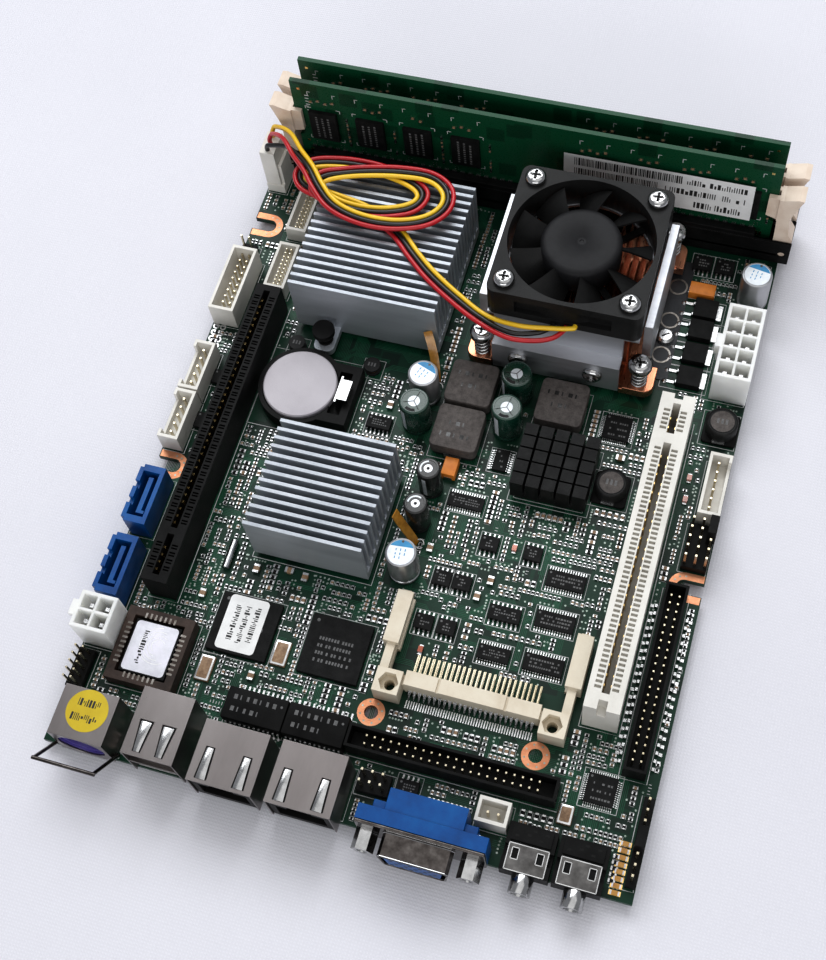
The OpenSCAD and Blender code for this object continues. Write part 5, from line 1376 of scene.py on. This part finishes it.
ribbon([(65.9, 118.6, 0.6), (65.7, 119.6, 2.5), (65.2, 121.2, 5), (64.3, 123.2, 7.6), (63.2, 125, 9.6),
        (62.4, 126.2, 11), (61.9, 126.8, 12.4)], 2.3, (0.9, 0.42, 0.1), 0.35, 4)
ribbon([(74.0, 72.2, 0.8), (73.2, 72.6, 2.6), (71.9, 73.2, 5), (70.5, 73.8, 7.4), (69.4, 74.2, 9.6),
        (68.6, 74.4, 12.2)], 2.5, (0.2, 0.95, 0.1), 0.35, 4)
for x, y, z in ((74.8, 72.4, 1.1), (66.9, 117.3, 1.0)):
    ring = [(x + 1.1 * math.cos(a), y + 1.1 * math.sin(a), z + 0.5 * math.sin(a))
            for a in [2 * math.pi * k / 20 for k in range(19)]]
    labels.sweep(ring, 0.16, 5, 6)
labels.done("labels")

# ---- Copper lands ----

lands = Build("land_copper", "via_tin", "solder")


def hole_lands(x, y):
    """Copper round a screw hole on both faces, with a ring of vias, and the hole's plated wall."""
    for z, s in ((0.03, 1), (-BOARD_T - 0.03, -1)):
        lands.lathe((x, y, z), ((1.85, 0), (3.45, 0.0), (3.45, -0.03 * s)), 0, 40, shut=False)
        for k in range(8):
            u, v = polar(x, y, 2.7, math.radians(45 * k + 20))
            lands.lathe((u, v, z + 0.012 * s), ((0.26, 0), (0, 0.002 * s)), 1, 8)
    wall = ((1.9, 0.035), (1.72, 0.03), (1.72, -BOARD_T - 0.03), (1.9, -BOARD_T - 0.035))
    lands.lathe((x, y, 0), wall, 0, 32, shut=False)


def notch_lands(x, y):
    """Copper round a notch in the board's edge on both faces, with its vias."""
    s = 1 if x == 0 else -1

    def band(r):
        line = [(x + s * 0.25, y - r)]
        line += [(x + s * (4.8 + r * math.cos(a)), y + r * math.sin(a))
                 for a in [math.radians(-90 + 15 * k) for k in range(13)]]
        return line + [(x + s * 0.25, y + r)]

    for z in (0.03, -BOARD_T - 0.03):
        lands.strip(band(1.95), band(3.9), z, 0)
        for k in range(7):
            a = math.radians(-90 + 30 * k)
            u, v = x + s * (4.8 + 2.9 * math.cos(a)), y + 2.9 * math.sin(a)
            lands.lathe((u, v, z + (0.012 if z > 0 else -0.012)), ((0.28, 0), (0, 0.002)), 1, 8)


for x, y in HOLES:
    hole_lands(x, y)
for x, y in NOTCHES:
    notch_lands(x, y)
# Two rows of empty plated holes by the left edge
for j in range(5):
    for x in (1.2, 3.2):
        ring = ((0.48, -1.6), (0.48, 0), (0.9, 0), (0.9, -0.03))
        lands.lathe((x, 113.8 + 2 * j, 0.03), ring, 2, 20, shut=False)
lands.done("copper_lands")

# ---- Connectors ----

leads = Build("solder", "gold", "kapton", "black_plastic", "label_silver", "die_resin", "chrome",
              "contact_tin", "sheet_grey", "pin_tin")


def edge_header_leads():
    """Leads down both sides of the header by the right edge."""
    for k in range(21):
        for x, s in ((134.9, -1), (144.7, 1)):
            leg((x - s * 0.9, 31.2 + k * 2.0), (s, 0), 0.8, 1.1, 1.35, 0.3, leads)


def card_header_leads():
    """The card header's leads: wedges, then fine tails on the board."""
    for k in range(25):
        x = 83.6 + k * 1.27
        outline = ((x - 0.45, 34.5), (x + 0.45, 34.5), (x + 0.13, 32.7), (x - 0.13, 32.7))
        points = [at(u, v, h if v > 34 else h * 0.16) for h in (1.9, 2.3) for u, v in outline]
        leads.add(points, BOX_FACES, 0)
    for k in range(50):
        x = 83.3 + k * 0.635
        leads.box(near(x, 0.15), (30.5, 32.5), (0.02, 0.16), 0)


def corner_lamps():
    """The row of small lamps at the front right corner."""
    for k in range(8):
        y = 0.9 + k * 1.62
        leads.box((140.2, 143.0), (y, y + 1.15), (0.02, 0.42), 1)
        leads.box((140.9, 142.3), (y + 0.05, y + 1.1), (0.4, 0.95), 2)
        leads.box((140.5, 142.7), (y + 0.12, y + 1.03), (0.4, 0.6), 4)


def display_port_hole_shade(centre_x, centre_z):
    """Near-black discs on the display port's face, painted shade in its fifteen contact holes, in three
    staggered rows.
    """
    face_on = Matrix.Rotation(math.radians(90), 3, "X")
    for row in range(3):
        for k in range(5):
            x = centre_x + (k - 2) * 2.29 + (0.57 if row == 1 else -0.57)
            leads.lathe((x, -6.72, centre_z + (1 - row) * 1.98), ((0.52, 0), (0, 0.01)), 5, 14, face_on)


def slot_bars():
    """The bars that split the graphics slot's contact windows."""
    for low, high in ((44.2, 55.4), (57.2, 129.6)):
        y = low + 2
        while y <= high - 1.99:
            for x in (16.9, 12.7):
                leads.box((x + 0.02, x + 1.58), near(y, 0.16), (9.9, 11.2), 3)
            y += 2


def finger(x, y, z, wide, long, taper):
    """A sprung finger in the top of a metal shell: a black strip on the shell where its U-shaped cut is,
    painted shade of the dark inside seen through the cut, and a bowed tongue in a brighter metal than the
    shell, a painted highlight.
    """
    gap = 0.32
    outline = ((x - wide / 2 - gap, y), (x + wide / 2 + gap, y), (x + taper / 2 + gap, y + long + gap),
               (x - taper / 2 - gap, y + long + gap))
    leads.prism(outline, (z + 0.01, z + 0.035), 3)
    steps = 8
    points = []
    for i in range(steps + 1):
        t = i / steps
        half = (wide + (taper - wide) * t) / 2
        v = y + long * t
        h = z + 0.06 + 0.22 * math.sin(math.pi * t)
        points += [at(x - half, v, h), at(x, v, h + 0.16), at(x + half, v, h)]
    faces = [(3 * i + k, 3 * i + k + 1, 3 * i + k + 4, 3 * i + k + 3) for i in range(steps) for k in (0, 1)]
    leads.add(points, faces, 6)


def socket_contacts(chip_x, chip_y):
    """Contacts between the socketed chip and the walls of its socket."""
    wall_x, wall_y, wall_z = solids("bios_socket")[0]
    cx, cy = (chip_x[0] + chip_x[1]) / 2, (chip_y[0] + chip_y[1]) / 2
    z = (wall_z[1] - 0.1, wall_z[1] + 0.05)
    for k in range(9):
        for x in ((wall_x[0] + chip_x[0]) / 2 + 0.35, (wall_x[1] + chip_x[1]) / 2 - 0.35):
            leads.box(near(x, 0.7), near(cy + (k - 4) * 1.27, 0.27), z, 7)
    for k in range(7):
        for y in ((wall_y[0] + chip_y[0]) / 2 + 0.35, (wall_y[1] + chip_y[1]) / 2 - 0.35):
            leads.box(near(cx + (k - 3) * 1.27, 0.27), near(y, 0.7), z, 7)


def highlight_rim(x, y, z, width, look):
    """A raised strip round an opening or a plate, in a bright metal: a painted highlight along its edge."""
    corners = ((x[0], y[0]), (x[1], y[0]), (x[1], y[1]), (x[0], y[1]))
    for i in range(4):
        (ax, ay), (bx, by) = corners[i], corners[(i + 1) % 4]
        leads.box(sorted((ax, bx)) if ax != bx else near(ax, width / 2),
                  sorted((ay, by)) if ay != by else near(ay, width / 2), z, look)


def audio_jack_top(x):
    """Turned edges on the top of an audio jack as strips of bright metal, painted highlights along them, and
    near-black blocks on its black back, painted shade in the slots moulded there.
    """
    highlight_rim((x + 1.1, x + 10.3), (-0.8, 5.3), (5.38, 5.52), 0.22, 9)
    for u in (2.0, 7.8):
        highlight_rim((x + u, x + u + 1.6), (1.8, 4.4), (5.38, 5.5), 0.2, 9)
    for u, v in ((1.9, 6.9), (4.6, 7.6), (7.4, 6.9), (5.7, 8.7), (8.6, 8.5)):
        leads.box((x + u, x + u + 0.9), (v, v + 0.5), (5.58, 5.61), 5)


def display_port_highlight_rims(centre_x, centre_z):
    """Rolled edges round the mouth and the root of the display port's shell, as round wires in a brighter
    metal than the shell: painted highlights along them.
    """
    shape = [(-8.3, 3.5), (-7.7, 4.1), (7.7, 4.1), (8.3, 3.5)]
    shape += [(7.4, -3.5), (6.8, -4.1), (-6.8, -4.1), (-7.4, -3.5)]
    for v in (-6.55, -1.15):
        leads.sweep([(centre_x + u, v, centre_z + h) for u, h in shape + shape[:2]], 0.2, 6, 8)


def cross_recess_shade():
    """Near-black crosses laid on the heads of the screws: painted shade in their cross recesses."""
    for node in ("small_screws", "spring_screws"):
        for box in solids(node):
            if box[0][1] - box[0][0] < 7 and box[2][1] > 12:
                for turn in (20, 110):
                    leads.block(middle(box), (2.3, 0.42), turn, (box[2][1] - 0.3, box[2][1] + 0.012), 5)


def dark_sheet():
    """The thin dark sheet beside the cooler, with the pads and the screw that hold it."""
    leads.box((117.6, 124.8), (134, 172), (0.03, 0.32), 8)
    for v in (141.5, 152.5, 163.5):
        leads.lathe((121.6, v, 0.32), ((2.6, 0), (2.6, 0.1), (2.1, 0.1), (2.1, 0)), 7, 24, shut=False)
    leads.lathe((121.6, 147, 0.32), ((2.3, 0), (2.3, 0.9), (1.7, 1.45), (0, 1.6)), 9, 24)
    # A near-black bar across the screw's head: painted shade in its slot
    leads.block((121.6, 147), (2.2, 0.4), 35, (1.6, 1.93), 5)


DISPLAY_X, DISPLAY_Z = 97, 6.3
edge_header_leads()
card_header_leads()
corner_lamps()
display_port_hole_shade(DISPLAY_X, DISPLAY_Z)
slot_bars()
for shell_x in (41.3, 60.5):
    for x in (shell_x + 3.4, shell_x + 12.6):
        finger(x, -1.5, 13.2, 2.3, 7.5, 1.6)
for x in (28.6, 34.2):
    finger(x, 0.2, 15.2, 1.4, 7.3, 2.6)
socket_contacts((12.7, 24.8), (20.6, 34.3))
for x in sorted({round(box[0][0] - 1, 1) for box in solids("audio_sleeves") if box[0][1] - box[0][0] > 8}):
    audio_jack_top(x)
display_port_highlight_rims(DISPLAY_X, DISPLAY_Z)
cross_recess_shade()
dark_sheet()
leads.done("connector_leads")

# ---- Underside ----

under = Build("solder", "chip_resin", "ceramic_tan", "via_tin", "run_green")
below = Ground()
BACK = -BOARD_T


def solder_cones():
    """A cone of solder round each thin tail."""
    for tail in solids("solder_tails"):
        x, y = tail[:2]
        r = max(x[1] - x[0], y[1] - y[0]) / 2
        if r < 1.2:
            cone = ((r + 0.5, -0.02), (r + 0.32, -0.28), (r + 0.12, -0.7), (r, -1.0))
            under.lathe((*middle(tail), BACK), cone, 0, 12)
        below.take(x, y, 0.7)


solder_cones()
below.take(*span("cooler_backplate")[:2], 1.0)
for x, y in HOLES:
    below.take(near(x, 4), near(y, 4))
for x, y in NOTCHES:
    below.take(near(x, 9), near(y, 4.4))


def underside_row():
    """A row of small parts on the underside, each with its two soldered ends."""
    upright = rng.random() < 0.5
    a, b = rng.choice(((1.1, 0.55), (1.25, 0.6), (1.7, 0.85)))
    count = rng.choice((1, 2, 3, 5, 8))
    x0, y0 = rng.uniform(2, BOARD_X - 2), rng.uniform(2, BOARD_Y - 2)
    look = rng.choice((1, 2))
    for i in range(count):
        x, y = (x0 + i * (b + 0.8), y0) if upright else (x0, y0 + i * (b + 0.8))
        w, d = (b / 2, a / 2) if upright else (a / 2, b / 2)
        if not below.free((x - w - 0.3, x + w + 0.3), (y - d - 0.3, y + d + 0.3)):
            break
        below.take((x - w - 0.2, x + w + 0.2), (y - d - 0.2, y + d + 0.2))
        under.box(near(x, w), near(y, d), (BACK - 0.42, BACK - 0.01), look)
        for s in (-1, 1):
            ex = near(x, w) if upright else sorted((x + s * w, x + s * (w - a * 0.26)))
            ey = sorted((y + s * d, y + s * (d - a * 0.26))) if upright else near(y, d)
            under.box(ex, ey, (BACK - 0.45, BACK - 0.01), 0)


for attempt in range(2600):
    underside_row()
for attempt in range(1500):
    x, y = rng.uniform(1.5, BOARD_X - 1.5), rng.uniform(1.5, BOARD_Y - 1.5)
    if below.free(near(x, 0.3), near(y, 0.3)):
        under.lathe((x, y, BACK - 0.02), ((0.27, 0), (0, -0.002)), 3, 8)
track_bundles(under, 4, 160, BOARD_Y - 4, ((4, 16), (2, 7), (4, 18)), BACK - 0.006, -0.0004)
under.done("underside_detail", smooth=40)

# ---- Stage ----

def add_stage():
    low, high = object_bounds()
    bpy.ops.mesh.primitive_plane_add(size=6, location=(0, 0, low.z))
    floor = bpy.context.object
    floor.name = "floor"
    floor.data.materials.append(F["floor_cloth"])

    def area(name, size, energy, place, aim=(0, 0, 0.01), colour=(1, 1, 1)):
        data = bpy.data.lights.new(name, "AREA")
        data.shape = "RECTANGLE"
        data.size, data.size_y = size
        data.energy = energy
        data.color = colour
        light = bpy.data.objects.new(name, data)
        light.location = place
        light.rotation_euler = (Vector(aim) - Vector(place)).to_track_quat("-Z", "Y").to_euler()
        bpy.context.scene.collection.objects.link(light)

    area("window", (1.0, 0.7), 7.4, (-0.25, 0.75, 0.95), colour=(0.96, 0.98, 1.0))
    area("ceiling", (1.6, 1.6), 5, (0.25, -0.1, 1.5), colour=(1.0, 0.99, 0.97))
    area("fill", (1.2, 0.5), 3.4, (0.15, -1.0, 0.5))
    world = bpy.data.worlds.new("studio")
    bpy.context.scene.world = world
    world.use_nodes = True
    back = world.node_tree.nodes["Background"]
    back.inputs["Color"].default_value = (0.93, 0.95, 1.0, 1)
    back.inputs["Strength"].default_value = 0.32
    view = bpy.context.scene.view_settings
    view.view_transform = "Standard"
    view.exposure = 0.42
    view.gamma = 0.84


finish("floor_cloth", ((0.74, 0.735, 0.78), (0.78, 0.775, 0.82)), 0.85, mottle=6, grain=900, bump=0.3,
       specular=0.2)
weave(F["floor_cloth"], 0.0008)
add_stage()
